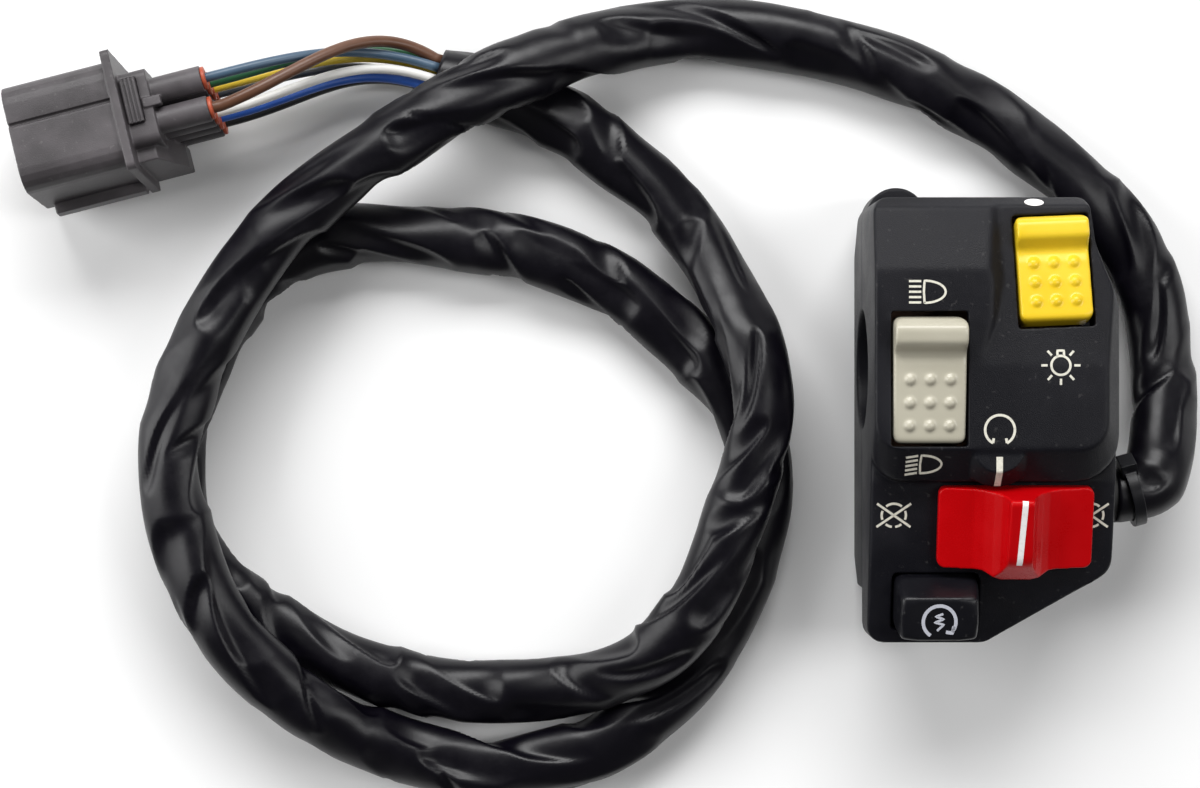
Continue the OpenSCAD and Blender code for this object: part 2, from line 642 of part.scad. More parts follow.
module stop_moving_contact() color("peru") slide_frame()
    translate([-carrier_w / 2 + 1.1, stem_v - 1.4, carrier_bottom]) {
        cube([2.8, 2.8, strip_t]);
        translate([1.4, 1.4, -0.4]) cylinder(h = 0.41, r = 0.8);
    }
module stop_contact_base() color("#6b4423") plate_frame() difference() {
    translate([-base_w / 2, stem_v - carrier_len / 2, base_top - base_t]) cube([base_w, carrier_len, base_t]);
    for (s = [-1, 1]) translate([s * base_post_x, stem_v, base_top - base_t - 1])
        cylinder(h = base_t + 2, r = board_screw_d / 2 + 0.1);
    for (i = [-1, 0, 1]) translate([ball_x + i * slide_step, stem_v, base_top + ball_r - 0.2])
        sphere(r = ball_r, $fn = 24);
    for (i = [-1, 0, 1]) translate([i * slide_step - carrier_w / 2 + 2.5, stem_v, base_top - base_t - 1])
        cylinder(h = base_t + 2, r = contact_r + 0.02);
}
module stop_terminals() color("goldenrod") plate_frame() for (i = [-1, 0, 1])
    translate([i * slide_step - carrier_w / 2 + 2.5, stem_v, base_top - base_t - 0.8])
        cylinder(h = base_t + 0.9, r = contact_r);

// Start button
module button_frame() plate_frame() translate([button_x, -button_drop, 0]) children();
face_inset = 0.6;
face_slope = 1.9;
button_corner_r = 1.2;
module start_button() color("#1a1a1c") button_frame() {
    intersection() {
        along_y(-button_len / 2, button_len / 2) polygon(rounded([
            [-button_w / 2, button_under, 0], [button_w / 2, button_under, 0], [button_w / 2, 1.6, 0.6],
            [button_w / 2 - face_inset, button_h, 0.8], [face_inset - button_w / 2, button_h, 0.8],
            [-button_w / 2, 1.6, 0.6]]));
        along_x(-button_w / 2, button_w / 2) polygon(rounded([
            [-button_len / 2, button_under, 0], [button_len / 2, button_under, 0], [button_len / 2, 1.6, 0.6],
            [button_len / 2 - face_slope, button_h, 0.8], [-button_len / 2 + 0.3, button_h, 0.8]]));
        translate([0, 0, button_under]) linear_extrude(button_h - button_under + 1)
            polygon(rounded(box_points(button_w, button_len, button_corner_r)));
    }
    translate([-button_w / 2 - flange_side, -button_len / 2 + 0.6, button_under])
        cube([button_w + 2 * flange_side, button_len - 1.2, flange_t]);
}
spring_v = -1.6;
strip_v = 2.6;
strip_len = 10;
module start_return_spring() color("silver") button_frame()
    translate([0, spring_v, start_base_top + 0.32])
        sweep(curl(2.4, button_under - start_base_top - 0.64, 3, 10), 0.28, 6);
module start_moving_contact() color("peru") button_frame()
    translate([-strip_len / 2, strip_v - 1, button_under - strip_t]) cube([strip_len, 2, strip_t]);
module start_contact_base() color("#6b4423") button_frame() difference() {
    translate([-button_w / 2 + 0.3, -button_len / 2 + 0.6, start_base_top - start_base_t])
        cube([button_w - 0.6, button_len - 1.2, start_base_t]);
    for (s = [-1, 1]) translate([s * 4, strip_v, start_base_top - 0.6]) cylinder(h = 2, r = 0.82);
}
module start_terminals() color("goldenrod") button_frame() for (s = [-1, 1])
    translate([s * 4, strip_v, start_base_top - 0.6]) cylinder(h = 0.95, r = 0.8);

// Cable exit
module cable_grommet() color("#202022") translate([0, -exit_drop, 0]) difference() {
    union() {
        rod_x(half_w - saddle_t - exit_lip, half_w - saddle_t - 0.02, exit_r + 1.4);
        rod_x(half_w - saddle_t - 0.5, half_w, exit_r - 0.03);
        rod_x(half_w - 0.5, neck_end, neck_d / 2);
    }
    rod_x(half_w - saddle_t - exit_lip - 1, neck_end - 1.2, neck_d / 2 - 1.2);
}
module tie_frame() translate((tie_ends[0] + tie_ends[1]) / 2)
    rotate([0, 90, atan2(tie_way[1], tie_way[0])]) children();
module cable_tie() color("#151515") tie_frame() difference() {
    union() {
        cylinder(h = tie_w, r = tie_r + tie_t, center = true);
        rotate([0, 0, 35]) translate([-1.9, tie_r - 0.1, -tie_w / 2 - 0.4]) cube([3.8, 2.6, tie_w + 0.8]);
    }
    cylinder(h = tie_w + 2, r = tie_r, center = true);
}

// Harness sleeve: its route in millimetres, from the grommet to its cut end
sleeve_route = [
    [31.3, -21.5, -0.2], [32.9, -19.6, -1], [34.1, -16.8, -2.3], [35, -13, -4.3], [35.7, -8.4, -6.8],
    [36.1, -3.4, -9.1], [36.1, 1.6, -10.6], [35.6, 7, -11.2], [34.6, 12.5, -11.2], [32.9, 17.6, -11.2],
    [30.2, 23.2, -11.2], [26.2, 28.8, -11.2], [21.6, 33.8, -11.2], [17, 37.9, -11.2], [10.6, 43, -11.2],
    [2.7, 48.6, -11.2], [-6.5, 53.6, -11.2], [-16, 58, -11.2], [-26, 61, -11.2], [-36.4, 63.2, -11.2],
    [-45, 64.4, -11.2], [-53, 65, -10.9], [-63.5, 63.5, -9], [-71, 61.5, -6.6], [-78.5, 59, -3.8],
    [-84.5, 56.5, -1.5], [-90.5, 54, 0], [-101, 48, 0.2], [-112.5, 41, 0.2], [-121.5, 34.5, 0.2],
    [-130, 27, 0.2], [-137.5, 18.5, 0.2], [-144, 7.5, 0.2], [-148.5, -3, 0.2], [-151, -13, 0.2],
    [-150.5, -24.5, 0.2], [-148, -34.5, 0.2], [-143.5, -45, -0.2], [-137, -54, -1.6], [-128, -62, -4.5],
    [-122.5, -65.5, -6.4], [-117, -69, -8.5], [-105.5, -73.5, -10.8], [-94, -76, -11.2],
    [-82.5, -75, -11.2], [-71, -71.5, -11.2], [-61.5, -65, -11.2], [-54, -57.5, -11.2],
    [-48, -47.5, -11.2], [-43, -36, -11.2], [-40.5, -25, -11.2], [-41, -15, -11.2],
    [-44.5, -6.5, -11.2], [-50, 0, -11.2], [-56, 6.5, -11.2], [-67, 15.5, -11.2], [-79, 21, -11.2],
    [-90, 24, -11.2], [-100, 25, -11.2], [-110, 25.5, -11.2], [-119.5, 25.5, -11.2],
    [-128.5, 23.5, -11.2], [-137, 17.5, -11.2], [-144.5, 7.5, -11.2], [-149.5, -3, -11.2],
    [-152.5, -13, -11.2], [-152.5, -23, -11.2], [-150.5, -31, -11.2], [-146, -38, -11.2],
    [-140.5, -43.5, -11.2], [-134.5, -48, -11.2], [-126.5, -52.5, -11.2], [-117, -56.5, -11.2],
    [-105.5, -60, -11.2], [-94, -61.5, -11], [-82.5, -61, -10], [-71.5, -58.5, -7],
    [-61.5, -53.5, -2.5], [-54.5, -46, 0], [-49, -35.5, 0.2], [-45, -24.5, 0.2], [-42, -15, 0.2],
    [-41, -5.5, -0.3], [-43, 5, -2.5], [-45.5, 11, -5.5], [-48.5, 17, -8.5], [-53, 25, -10.8],
    [-59.5, 33.5, -11.2], [-67.5, 40, -11.2], [-75, 46, -11.2], [-82.5, 49.5, -11.2], [-90, 52, -11.2],
    [-96, 54.3, -11.2], [-102, 56.2, -11.2]];
sleeve_rings = 80;
sleeve_line = concat([[neck_end + 0.02, -exit_drop, 0], [neck_end + 0.9, -exit_drop, 0]], tie_ends,
    along_route(sleeve_route, sleeve_rings - 4));
module harness_sleeve() color("#141416") sweep(sleeve_line, sleeve_d / 2, 10);
gap_samples = 320;
gap_line = along_route(sleeve_route, gap_samples);
gap_skip = 14;
echo(sleeve_least_gap = min([for (i = [0:gap_samples - 1]) for (j = [i + gap_skip:1:gap_samples - 1])
    norm(gap_line[i] - gap_line[j])]) - sleeve_d);
echo(sleeve_length = len_of(gap_line));
function len_of(p, i = 0) = i >= len(p) - 1 ? 0 : norm(p[i + 1] - p[i]) + len_of(p, i + 1);

// Connector, lying on its corner
flange_t_c = 1.7;
block_end = 7;
tube_end = 16.7;
tube_r = 2.45;
tube_bore_r = 1.9;
seal_out = 0.7;
seal_in = 3.5;
connector_turn = 14.5;
connector_roll = -6;
flange_w = shroud_w + 2 * flange_lip;
flange_h = shroud_h + 2 * flange_lip;
flange_r = 1.2;
connector_lift = (flange_h / 2 - flange_r) * cos(connector_roll)
    + (flange_w / 2 - flange_r) * sin(-connector_roll) + flange_r + 0.05;
connector_at = [-160.13, 46.15, floor_z + connector_lift];
rows = [-1.5, -0.5, 0.5, 1.5];
columns = [-0.5, 0.5];
module connector_frame()
    translate(connector_at) rotate([0, 0, connector_turn]) rotate([connector_roll, 0, 0]) children();
module cavities() for (c = columns) for (r = rows) translate([0, c * cavity_x, r * cavity_y]) children();
module shroud_section(inset)
    polygon(rounded(box_points(shroud_w - 2 * inset, shroud_h - 2 * inset, 4 - inset)));
floor_t = 2.4;
module connector_housing() color("#8b8d8c") connector_frame() difference() {
    union() {
        along_x(-shroud_len, 0) shroud_section(0);
        along_x(0, flange_t_c) polygon(rounded(box_points(flange_w, flange_h, flange_r)));
        along_x(0, block_end) polygon(rounded(box_points(2 * cavity_x + 2.6, 4 * cavity_y + 1.2, 1.6)));
        cavities() rod_x(flange_t_c, tube_end, tube_r);
        translate([-shroud_len + 2, -shroud_w / 2 - 2, -shroud_h / 2 + 3]) cube([shroud_len - 2, 3, 3.4]);
        along_y(-gusset_y, -gusset_y + 4.6) gusset_section();
        translate([retainer_from + retainer_l + 0.3, -0.5, 2 * cavity_y - 1]) cube([3.4, 1.8, 2]);
    }
    along_x(-shroud_len - 1, -floor_t) shroud_section(shroud_wall);
    cavities() rod_x(3, tube_end + 1, tube_bore_r);
    cavities() rod_x(-floor_t - 1, 4, 1.05);
    translate([retainer_from, retainer_y - retainer_w / 2, retainer_z]) cube([retainer_l, retainer_w, 9]);
    translate([-shroud_len - 1, groove_y - groove_w / 2, shroud_h / 2 - groove_t])
        cube([shroud_len + 1, groove_w, 9]);
}
groove_y = 2.2;
groove_w = 0.7;
groove_t = 0.6;
gusset_y = 9.8;
module gusset_section() polygon([
    [flange_t_c - 0.5, -11.5], [flange_t_c + 7.4, -11.5], [flange_t_c + 7.4, -5.5], [flange_t_c + 3.7, 8],
    [flange_t_c - 0.5, 8]]);
retainer_w = 8.6;
retainer_t = 0.8;
retainer_y = 1.3;
retainer_from = flange_t_c + 0.3;
retainer_l = 3;
retainer_z = 2 * cavity_y + 0.6 - retainer_t;
retainer_ribs = 4;
module connector_retainer() color("#7d7f7e") connector_frame()
    translate([retainer_from + 0.05, retainer_y - retainer_w / 2 + 0.1, retainer_z + 0.02]) {
        cube([retainer_l - 0.1, retainer_w - 0.2, retainer_t + 0.6]);
        for (i = [0:retainer_ribs - 1])
            translate([0.1 + i * (retainer_l - 0.7) / (retainer_ribs - 1), 0, retainer_t + 0.59])
            cube([0.4, retainer_w - 0.2, 0.4]);
    }
module connector_terminals() color("goldenrod") connector_frame() cavities() {
    rod_x(-shroud_len + 6.4, 3.2, 1);
    rod_x(3.1, wire_start - 2.5, 1.6);
}
module connector_wire_seals() color("#d8552a") connector_frame() for (i = [0:len(wires) - 1])
    translate([0, wires[i][1] * cavity_x, wires[i][2] * cavity_y]) difference() {
        union() {
            rod_x(tube_end - seal_in, tube_end, tube_bore_r - 0.05);
            rod_x(tube_end, tube_end + seal_out, tube_bore_r + 0.25);
        }
        rod_x(tube_end - seal_in - 1, tube_end + 2, wires[i][3] / 2 + 0.05);
    }

// Wires from the seals to the sleeve's end:
// [colour, column, row, diameter, slot in the bundle, lift, push aside]
wires = [
    ["#4a2f22", -0.5, 1.5, thick_wire_d, 0, 4, 3.8], ["#d6b92c", 0.5, -0.5, wire_d, 6, 0, 0],
    ["#39434c", 0.5, -1.5, wire_d, 5, 0, 0], ["#e2e2e0", -0.5, 0.5, wire_d, 2, 0, 0],
    ["#1f63b4", -0.5, -0.5, wire_d, 3, 0, 0], ["#17181a", -0.5, -1.5, wire_d, 4, 0, 0],
    ["#6fb0d8", 0.5, 1.5, wire_d, 1, 0, 0], ["#2f7a48", 0.5, 0.5, wire_d, 7, 0, 0]];
bundle_r = 3;
wire_start = tube_end - 2.5;
wire_gap = 0.15;
wire_straight = 1.4;
wire_reach = 16;
wire_rings = 14;
sleeve_out = unit(sleeve_route[len(sleeve_route) - 1] - sleeve_route[len(sleeve_route) - 2]);
bundle_side = unit(cross([0, 0, 1], sleeve_out));
function rolled(p) = let (c = cos(connector_roll), s = sin(connector_roll))
    [p[0], p[1] * c - p[2] * s, p[1] * s + p[2] * c];
function placed(p) = let (q = rolled(p), t = turned([q[0], q[1]], connector_turn))
    connector_at + [t[0], t[1], q[2]];
wire_out = [cos(connector_turn), sin(connector_turn), 0];
function bezier(a, b, c, d, t) =
    pow(1 - t, 3) * a + 3 * pow(1 - t, 2) * t * b + 3 * (1 - t) * t * t * c + pow(t, 3) * d;
function slot_at(k) = sleeve_route[len(sleeve_route) - 1]
    + bundle_r * (bundle_side * -cos(22.5 + 45 * k) + [0, 0, 1] * sin(22.5 + 45 * k));
function wire_line(w) =
    let (from = placed([wire_start, w[1] * cavity_x, w[2] * cavity_y]),
        mouth = from + wire_out * (tube_end + seal_out - wire_start + 1.5), to = slot_at(w[4]),
        aside = [0, 0, w[5]] - bundle_side * w[6], leave = to + sleeve_out * wire_straight)
    concat([from], [for (i = [0:wire_rings]) bezier(mouth, mouth + wire_out * wire_reach + aside * 0.55,
        leave + sleeve_out * wire_reach + aside, leave, i / wire_rings)], [to + sleeve_out * wire_gap]);
module wire(i) color(wires[i][0]) sweep(wire_line(wires[i]), wires[i][3] / 2, 8);
module wire_brown() wire(0);
module wire_yellow() wire(1);
module wire_grey() wire(2);
module wire_white() wire(3);
module wire_blue() wire(4);
module wire_black() wire(5);
module wire_sky() wire(6);
module wire_green() wire(7);

front_housing();
rear_housing();
clamp_screws();
contact_board();
board_screws();
dimmer_rocker();
dimmer_pivot_pins();
dimmer_plunger();
dimmer_plunger_spring();
dimmer_contact_bridge();
dimmer_terminals();
light_rocker();
light_pivot_pins();
light_plunger();
light_plunger_spring();
light_contact_bridge();
light_terminals();
stop_slide();
stop_carrier();
stop_carrier_screw();
stop_detent_ball();
stop_detent_spring();
stop_moving_contact();
stop_contact_base();
stop_terminals();
start_button();
start_return_spring();
start_moving_contact();
start_contact_base();
start_terminals();
cable_grommet();
cable_tie();
harness_sleeve();
wire_brown();
wire_yellow();
wire_grey();
wire_white();
wire_blue();
wire_black();
wire_sky();
wire_green();
connector_housing();
connector_retainer();
connector_terminals();
connector_wire_seals();
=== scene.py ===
"""Dresses a handlebar switch cluster: soft mouldings, printed signs, a creased sleeve and its wires."""

import json
import math

import bmesh
import bpy
import numpy as np
from mathutils import Matrix, Vector, noise
from mathutils.bvhtree import BVHTree


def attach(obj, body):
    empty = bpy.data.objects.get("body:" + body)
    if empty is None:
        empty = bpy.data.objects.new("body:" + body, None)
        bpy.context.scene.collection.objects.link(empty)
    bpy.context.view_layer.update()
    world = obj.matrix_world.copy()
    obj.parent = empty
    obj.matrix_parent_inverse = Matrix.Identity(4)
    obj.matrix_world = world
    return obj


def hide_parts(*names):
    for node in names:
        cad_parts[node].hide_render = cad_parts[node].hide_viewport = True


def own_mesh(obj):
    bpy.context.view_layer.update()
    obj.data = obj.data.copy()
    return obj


MM = 0.001
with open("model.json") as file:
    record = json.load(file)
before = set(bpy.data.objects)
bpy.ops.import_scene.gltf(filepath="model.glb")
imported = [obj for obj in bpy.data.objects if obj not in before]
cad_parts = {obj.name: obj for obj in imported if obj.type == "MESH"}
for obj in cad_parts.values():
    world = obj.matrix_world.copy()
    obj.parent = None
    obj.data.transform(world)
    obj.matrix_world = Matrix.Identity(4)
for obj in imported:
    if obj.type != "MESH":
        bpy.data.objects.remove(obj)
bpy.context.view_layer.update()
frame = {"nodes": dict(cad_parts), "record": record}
nodes = frame["nodes"]

# Sizes of the cluster, in millimetres and radians, as in its solids
PLATE_TILT = math.radians(15)
FLOOR = -16.5
SLEEVE_D = 10.5


# Node trees


class Value:
    """A socket that takes part in plain arithmetic."""

    def __init__(self, graph, socket):
        self.graph = graph
        self.socket = socket

    def math(self, operation, first, second):
        return self.graph.add("ShaderNodeMath", {"operation": operation}, {0: first, 1: second})

    def __add__(self, other):
        return self.math("ADD", self, other)

    def __radd__(self, other):
        return self.math("ADD", other, self)

    def __sub__(self, other):
        return self.math("SUBTRACT", self, other)

    def __rsub__(self, other):
        return self.math("SUBTRACT", other, self)

    def __mul__(self, other):
        return self.math("MULTIPLY", self, other)

    def __rmul__(self, other):
        return self.math("MULTIPLY", other, self)

    def over(self, low, high):
        """0 below low, 1 above high, smooth between."""
        return self.graph.add(
            "ShaderNodeMapRange",
            {"interpolation_type": "SMOOTHSTEP"},
            {"Value": self, "From Min": low, "From Max": high},
        )


class Graph:
    """A node tree and the moves that fill it."""

    def __init__(self, tree):
        self.tree = tree

    def put(self, socket, value):
        if isinstance(value, Value):
            self.tree.links.new(value.socket, socket)
        else:
            socket.default_value = value

    def add(self, kind, settings=None, inputs=None, out=0):
        node = self.tree.nodes.new(kind)
        for key, value in (settings or {}).items():
            setattr(node, key, value)
        for key, value in (inputs or {}).items():
            self.put(node.inputs[key], value)
        return Value(self, node.outputs[out])


class Growth(Graph):
    """A tree that repeats a shape, with named sizes, and leaves a plain mesh."""

    def __init__(self, name, sizes):
        super().__init__(bpy.data.node_groups.new(name, "GeometryNodeTree"))
        self.tree.interface.new_socket("Mesh", in_out="OUTPUT", socket_type="NodeSocketGeometry")
        self.sizes = {}
        for label, size in sizes.items():
            socket = self.tree.interface.new_socket(label, in_out="INPUT", socket_type="NodeSocketFloat")
            self.sizes[socket.identifier] = size
        self.given = self.tree.nodes.new("NodeGroupInput")

    def size(self, label):
        return Value(self, self.given.outputs[label])

    def grown(self, name, shape, material):
        whole = self.add("GeometryNodeRealizeInstances", None, {"Geometry": shape})
        dressed = self.add("GeometryNodeSetMaterial", None, {"Geometry": whole, "Material": material})
        self.put(self.tree.nodes.new("NodeGroupOutput").inputs["Mesh"], dressed)
        piece = new_piece(name, bpy.data.meshes.new(name), material)
        growth = piece.modifiers.new("growth", "NODES")
        growth.node_group = self.tree
        for identifier, size in self.sizes.items():
            growth[identifier] = size
        return as_mesh(piece)


# Finishes


class Finish(Graph):
    """One material and the few moves that its nodes need."""

    def __init__(self, name):
        self.material = bpy.data.materials.new(name)
        self.material.use_nodes = True
        super().__init__(self.material.node_tree)
        self.shader = self.tree.nodes["Principled BSDF"]
        self.place = self.add("ShaderNodeTexCoord", out="Object")

    def set(self, **sockets):
        for key, value in sockets.items():
            self.put(self.shader.inputs[key.replace("_", " ").title().replace("Ior", "IOR")], value)
        return self.material

    def grain(self, scale, detail=3.0, rough=0.55, place=None):
        return self.add(
            "ShaderNodeTexNoise",
            None,
            {"Vector": place or self.place, "Scale": scale, "Detail": detail, "Roughness": rough},
        )

    def stretched(self, x, y, z):
        return self.add("ShaderNodeVectorMath", {"operation": "MULTIPLY"}, {0: self.place, 1: (x, y, z)})

    def mix(self, amount, first, second):
        return self.add("ShaderNodeMix", {"data_type": "RGBA"}, {0: amount, 6: first, 7: second}, out=2)

    def bump(self, height, strength, depth):
        sizes = {"Height": height, "Strength": strength, "Distance": depth}
        return self.add("ShaderNodeBump", None, sizes, "Normal")


def rgb(r, g, b):
    return (r, g, b, 1.0)


def moulded(name, colour, pale, roughness, texture, depth, dust=0.0, gloss=0.5):
    """A moulded plastic with a fine skin texture, cloudy tone and a little dust."""
    f = Finish(name)
    cloud = f.grain(55.0, 4.0, 0.6).over(0.35, 0.7)
    skin = f.grain(texture, 2.0, 0.6)
    specks = f.grain(900.0, 2.0, 0.5).over(0.66, 0.74)
    tone = f.mix(cloud, colour, pale)
    if dust:
        tone = f.mix(specks * dust, tone, rgb(0.32, 0.31, 0.3))
    rough = roughness + (cloud - 0.5) * 0.1 + (skin - 0.5) * 0.14
    f.shader.inputs["Specular IOR Level"].default_value = gloss
    return f.set(base_color=tone, roughness=rough, normal=f.bump(skin, 0.5, depth))


def vinyl(name, colour, pale, roughness, gloss=0.5):
    """Soft vinyl: smooth, shiny, with handling smears that dull it in places."""
    f = Finish(name)
    smear = f.grain(120.0, 4.0, 0.6).over(0.4, 0.75)
    fine = f.grain(1600.0, 2.0, 0.5)
    tone = f.mix(smear, colour, pale)
    rough = roughness + smear * 0.12 + (fine - 0.5) * 0.08
    f.shader.inputs["Specular IOR Level"].default_value = gloss
    return f.set(base_color=tone, roughness=rough, normal=f.bump(fine, 0.25, 0.00004))


def metal(name, colour, dark, roughness):
    """Plated or bare metal with rubbed streaks and darker spots."""
    f = Finish(name)
    streaks = f.grain(400.0, 4.0, 0.7, f.stretched(6.0, 1.0, 1.0))
    spots = f.grain(260.0, 4.0, 0.6).over(0.55, 0.72)
    tone = f.mix(spots * 0.6, colour, dark)
    f.set(metallic=1.0)
    rough = roughness + (streaks - 0.5) * 0.2
    return f.set(base_color=tone, roughness=rough, normal=f.bump(streaks, 0.2, 0.00003))


def paint(name, colour, worn):
    """Thin pad-printed paint, slightly patchy."""
    f = Finish(name)
    patchy = f.grain(1800.0, 3.0, 0.6).over(0.42, 0.7)
    return f.set(base_color=f.mix(patchy * 0.5, colour, worn), roughness=0.55 + patchy * 0.15)


BLACK = moulded(
    "black_moulding", rgb(0.0026, 0.0026, 0.0048), rgb(0.007, 0.007, 0.01),
    roughness=0.46, texture=5200.0, depth=0.00013, dust=0.06, gloss=0.22,
)
BUTTON = moulded(
    "button_moulding", rgb(0.004, 0.004, 0.006), rgb(0.006, 0.006, 0.008),
    roughness=0.34, texture=6000.0, depth=0.00003, dust=0.06, gloss=0.27,
)
CREAM = moulded(
    "cream_moulding", rgb(0.43, 0.406, 0.322), rgb(0.462, 0.437, 0.35),
    roughness=0.34, texture=3800.0, depth=0.00002, dust=0.0, gloss=0.55,
)
YELLOW = moulded(
    "yellow_moulding", rgb(0.735, 0.495, 0.014), rgb(0.78, 0.545, 0.022),
    roughness=0.35, texture=3800.0, depth=0.00002, dust=0.0, gloss=0.4,
)
RED = moulded(
    "red_moulding", rgb(0.43, 0.0004, 0.0018), rgb(0.48, 0.0008, 0.0028),
    roughness=0.3, texture=3800.0, depth=0.000015, dust=0.0, gloss=0.15,
)
GREY = moulded(
    "connector_moulding", rgb(0.0395, 0.0352, 0.0378), rgb(0.084, 0.0748, 0.0805),
    roughness=0.48, texture=4200.0, depth=0.00008, dust=0.1, gloss=0.5,
)
RUBBER = moulded(
    "grommet_rubber", rgb(0.009, 0.009, 0.009), rgb(0.014, 0.014, 0.014),
    roughness=0.6, texture=3000.0, depth=0.00006,
)
SLEEVE = vinyl("sleeve_vinyl", rgb(0.0014, 0.001, 0.003), rgb(0.0023, 0.0016, 0.0043), 0.33, gloss=0.32)
SEAL = vinyl("seal_silicone", rgb(0.36, 0.06, 0.025), rgb(0.44, 0.085, 0.035), 0.4)
# Painted shade: the pivot pins get a near-black steel, so they stay dark down in their gaps and show no
# glint
PIN_SHADE_STEEL = metal("blued_steel", rgb(0.02, 0.02, 0.024), rgb(0.012, 0.012, 0.014), 0.5)
STEEL = metal("screw_steel", rgb(0.6, 0.6, 0.62), rgb(0.3, 0.29, 0.27), 0.34)
DULL = metal("screw_plating", rgb(0.2, 0.2, 0.21), rgb(0.1, 0.095, 0.09), 0.42)
BRASS = metal("contact_brass", rgb(0.75, 0.52, 0.2), rgb(0.4, 0.24, 0.1), 0.32)
BOARD = moulded(
    "board_phenolic", rgb(0.14, 0.06, 0.025), rgb(0.19, 0.085, 0.035),
    roughness=0.5, texture=1500.0, depth=0.00004,
)
PRINT = paint("sign_paint", rgb(0.66, 0.64, 0.55), rgb(0.4, 0.39, 0.34))
WHITE = paint("mark_paint", rgb(0.9, 0.87, 0.86), rgb(0.72, 0.68, 0.66))
PALE = paint("start_paint", rgb(0.5, 0.51, 0.57), rgb(0.36, 0.37, 0.43))
WIRES = {
    "wire_brown": vinyl("wire_brown_skin", rgb(0.1, 0.042, 0.022), rgb(0.13, 0.058, 0.032), 0.36),
    "wire_yellow": vinyl("wire_yellow_skin", rgb(0.6, 0.42, 0.03), rgb(0.7, 0.5, 0.06), 0.38),
    "wire_grey": vinyl("wire_grey_skin", rgb(0.03, 0.036, 0.045), rgb(0.05, 0.056, 0.066), 0.38),
    "wire_white": vinyl("wire_white_skin", rgb(0.68, 0.67, 0.64), rgb(0.76, 0.75, 0.73), 0.38),
    "wire_blue": vinyl("wire_blue_skin", rgb(0.02, 0.08, 0.36), rgb(0.03, 0.11, 0.44), 0.36),
    "wire_black": vinyl("wire_black_skin", rgb(0.008, 0.008, 0.009), rgb(0.014, 0.014, 0.015), 0.36),
    "wire_sky": vinyl("wire_sky_skin", rgb(0.05, 0.09, 0.14), rgb(0.07, 0.12, 0.18), 0.36),
    "wire_green": vinyl("wire_green_skin", rgb(0.012, 0.08, 0.03), rgb(0.018, 0.1, 0.04), 0.38),
}


# Pieces

SMOOTHING = 0.5
BEVEL_SEGMENTS = 3
BEVEL_FROM = math.radians(28.0)
WELD = 0.000002
FLAT = math.radians(0.6)
ZONE_LEVELS = 10


def settled(piece, body, slot, *replaced):
    """Rides the piece on its body and hides the solids that it stands for. Its slot is not used."""
    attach(piece, body)
    if replaced:
        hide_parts(*replaced)
    return piece


def new_piece(name, mesh, material):
    piece = bpy.data.objects.new(name, mesh)
    mesh.materials.clear()
    mesh.materials.append(material)
    bpy.context.scene.collection.objects.link(piece)
    return piece


def as_mesh(piece):
    """Turns the piece's modifiers into plain mesh."""
    graph = bpy.context.evaluated_depsgraph_get()
    mesh = bpy.data.meshes.new_from_object(piece.evaluated_get(graph))
    piece.modifiers.clear()
    piece.data = mesh
    return piece


def softened(node, width, material):
    """A copy of a solid with rounded edges, as moulded or turned pieces have."""
    mesh = nodes[node].data.copy()
    shape = bmesh.new()
    shape.from_mesh(mesh)
    bmesh.ops.remove_doubles(shape, verts=shape.verts, dist=WELD)
    bmesh.ops.dissolve_limit(shape, angle_limit=FLAT, verts=shape.verts, edges=shape.edges)
    shape.to_mesh(mesh)
    shape.free()
    mesh.shade_smooth()
    piece = new_piece(node + "_soft", mesh, material)
    edge = piece.modifiers.new("edges", "BEVEL")
    edge.width = width * MM
    edge.segments = BEVEL_SEGMENTS
    edge.limit_method = "ANGLE"
    edge.angle_limit = BEVEL_FROM
    edge.miter_outer = "MITER_ARC"
    edge.use_clamp_overlap = True
    edge.harden_normals = True
    return as_mesh(piece)


def moulding(node, material, voxel, passes, most, zone=None, more=0):
    """A copy of a solid with every edge rounded, and rounded more where a zone has weight."""
    piece = new_piece(node + "_soft", nodes[node].data.copy(), material)
    skin = piece.modifiers.new("skin", "REMESH")
    skin.mode = "VOXEL"
    skin.voxel_size = voxel * MM
    wear = piece.modifiers.new("wear", "SMOOTH")
    wear.factor = SMOOTHING
    wear.iterations = passes
    as_mesh(piece)
    if zone:
        weight = zone(points_of(piece.data))
        group = piece.vertex_groups.new(name="zone")
        for level in range(1, ZONE_LEVELS + 1):
            members = np.nonzero(np.round(weight * ZONE_LEVELS) == level)[0]
            group.add(members.tolist(), level / ZONE_LEVELS, "REPLACE")
        broad = piece.modifiers.new("broad", "SMOOTH")
        broad.factor = SMOOTHING
        broad.iterations = more
        broad.vertex_group = group.name
        as_mesh(piece)
        piece.vertex_groups.clear()
    triangles = 2 * len(piece.data.polygons)
    if triangles > most:
        thin = piece.modifiers.new("thin", "DECIMATE")
        thin.ratio = most / triangles
        as_mesh(piece)
    piece.data.shade_smooth()
    return piece


def points_of(mesh):
    """The corners of a mesh, in millimetres."""
    place = np.empty(3 * len(mesh.vertices))
    mesh.vertices.foreach_get("co", place)
    return place.reshape(-1, 3) / MM


# Zones of the mouldings, in millimetres
OPEN_FROM = 9.0
OPEN_RAMP = 4.0
CONTROL_RIM = (0.9, 2.5)
LUG_BOX = ((-5.2, -21.4), (5.2, -16.0))
LUG_RIM = (0.0, 1.2)
BAND = 0.7
BAND_FADE = 0.8
FACE_SKIN = 0.3
CORNER = 0.7
CORNER_FADE = 2.4
CONTROLS = ("dimmer_rocker", "light_rocker", "stop_slide", "start_button")
push_axis = np.array((0.0, -math.sin(PLATE_TILT), math.cos(PLATE_TILT)))
along_plate = np.array((0.0, math.cos(PLATE_TILT), math.sin(PLATE_TILT)))


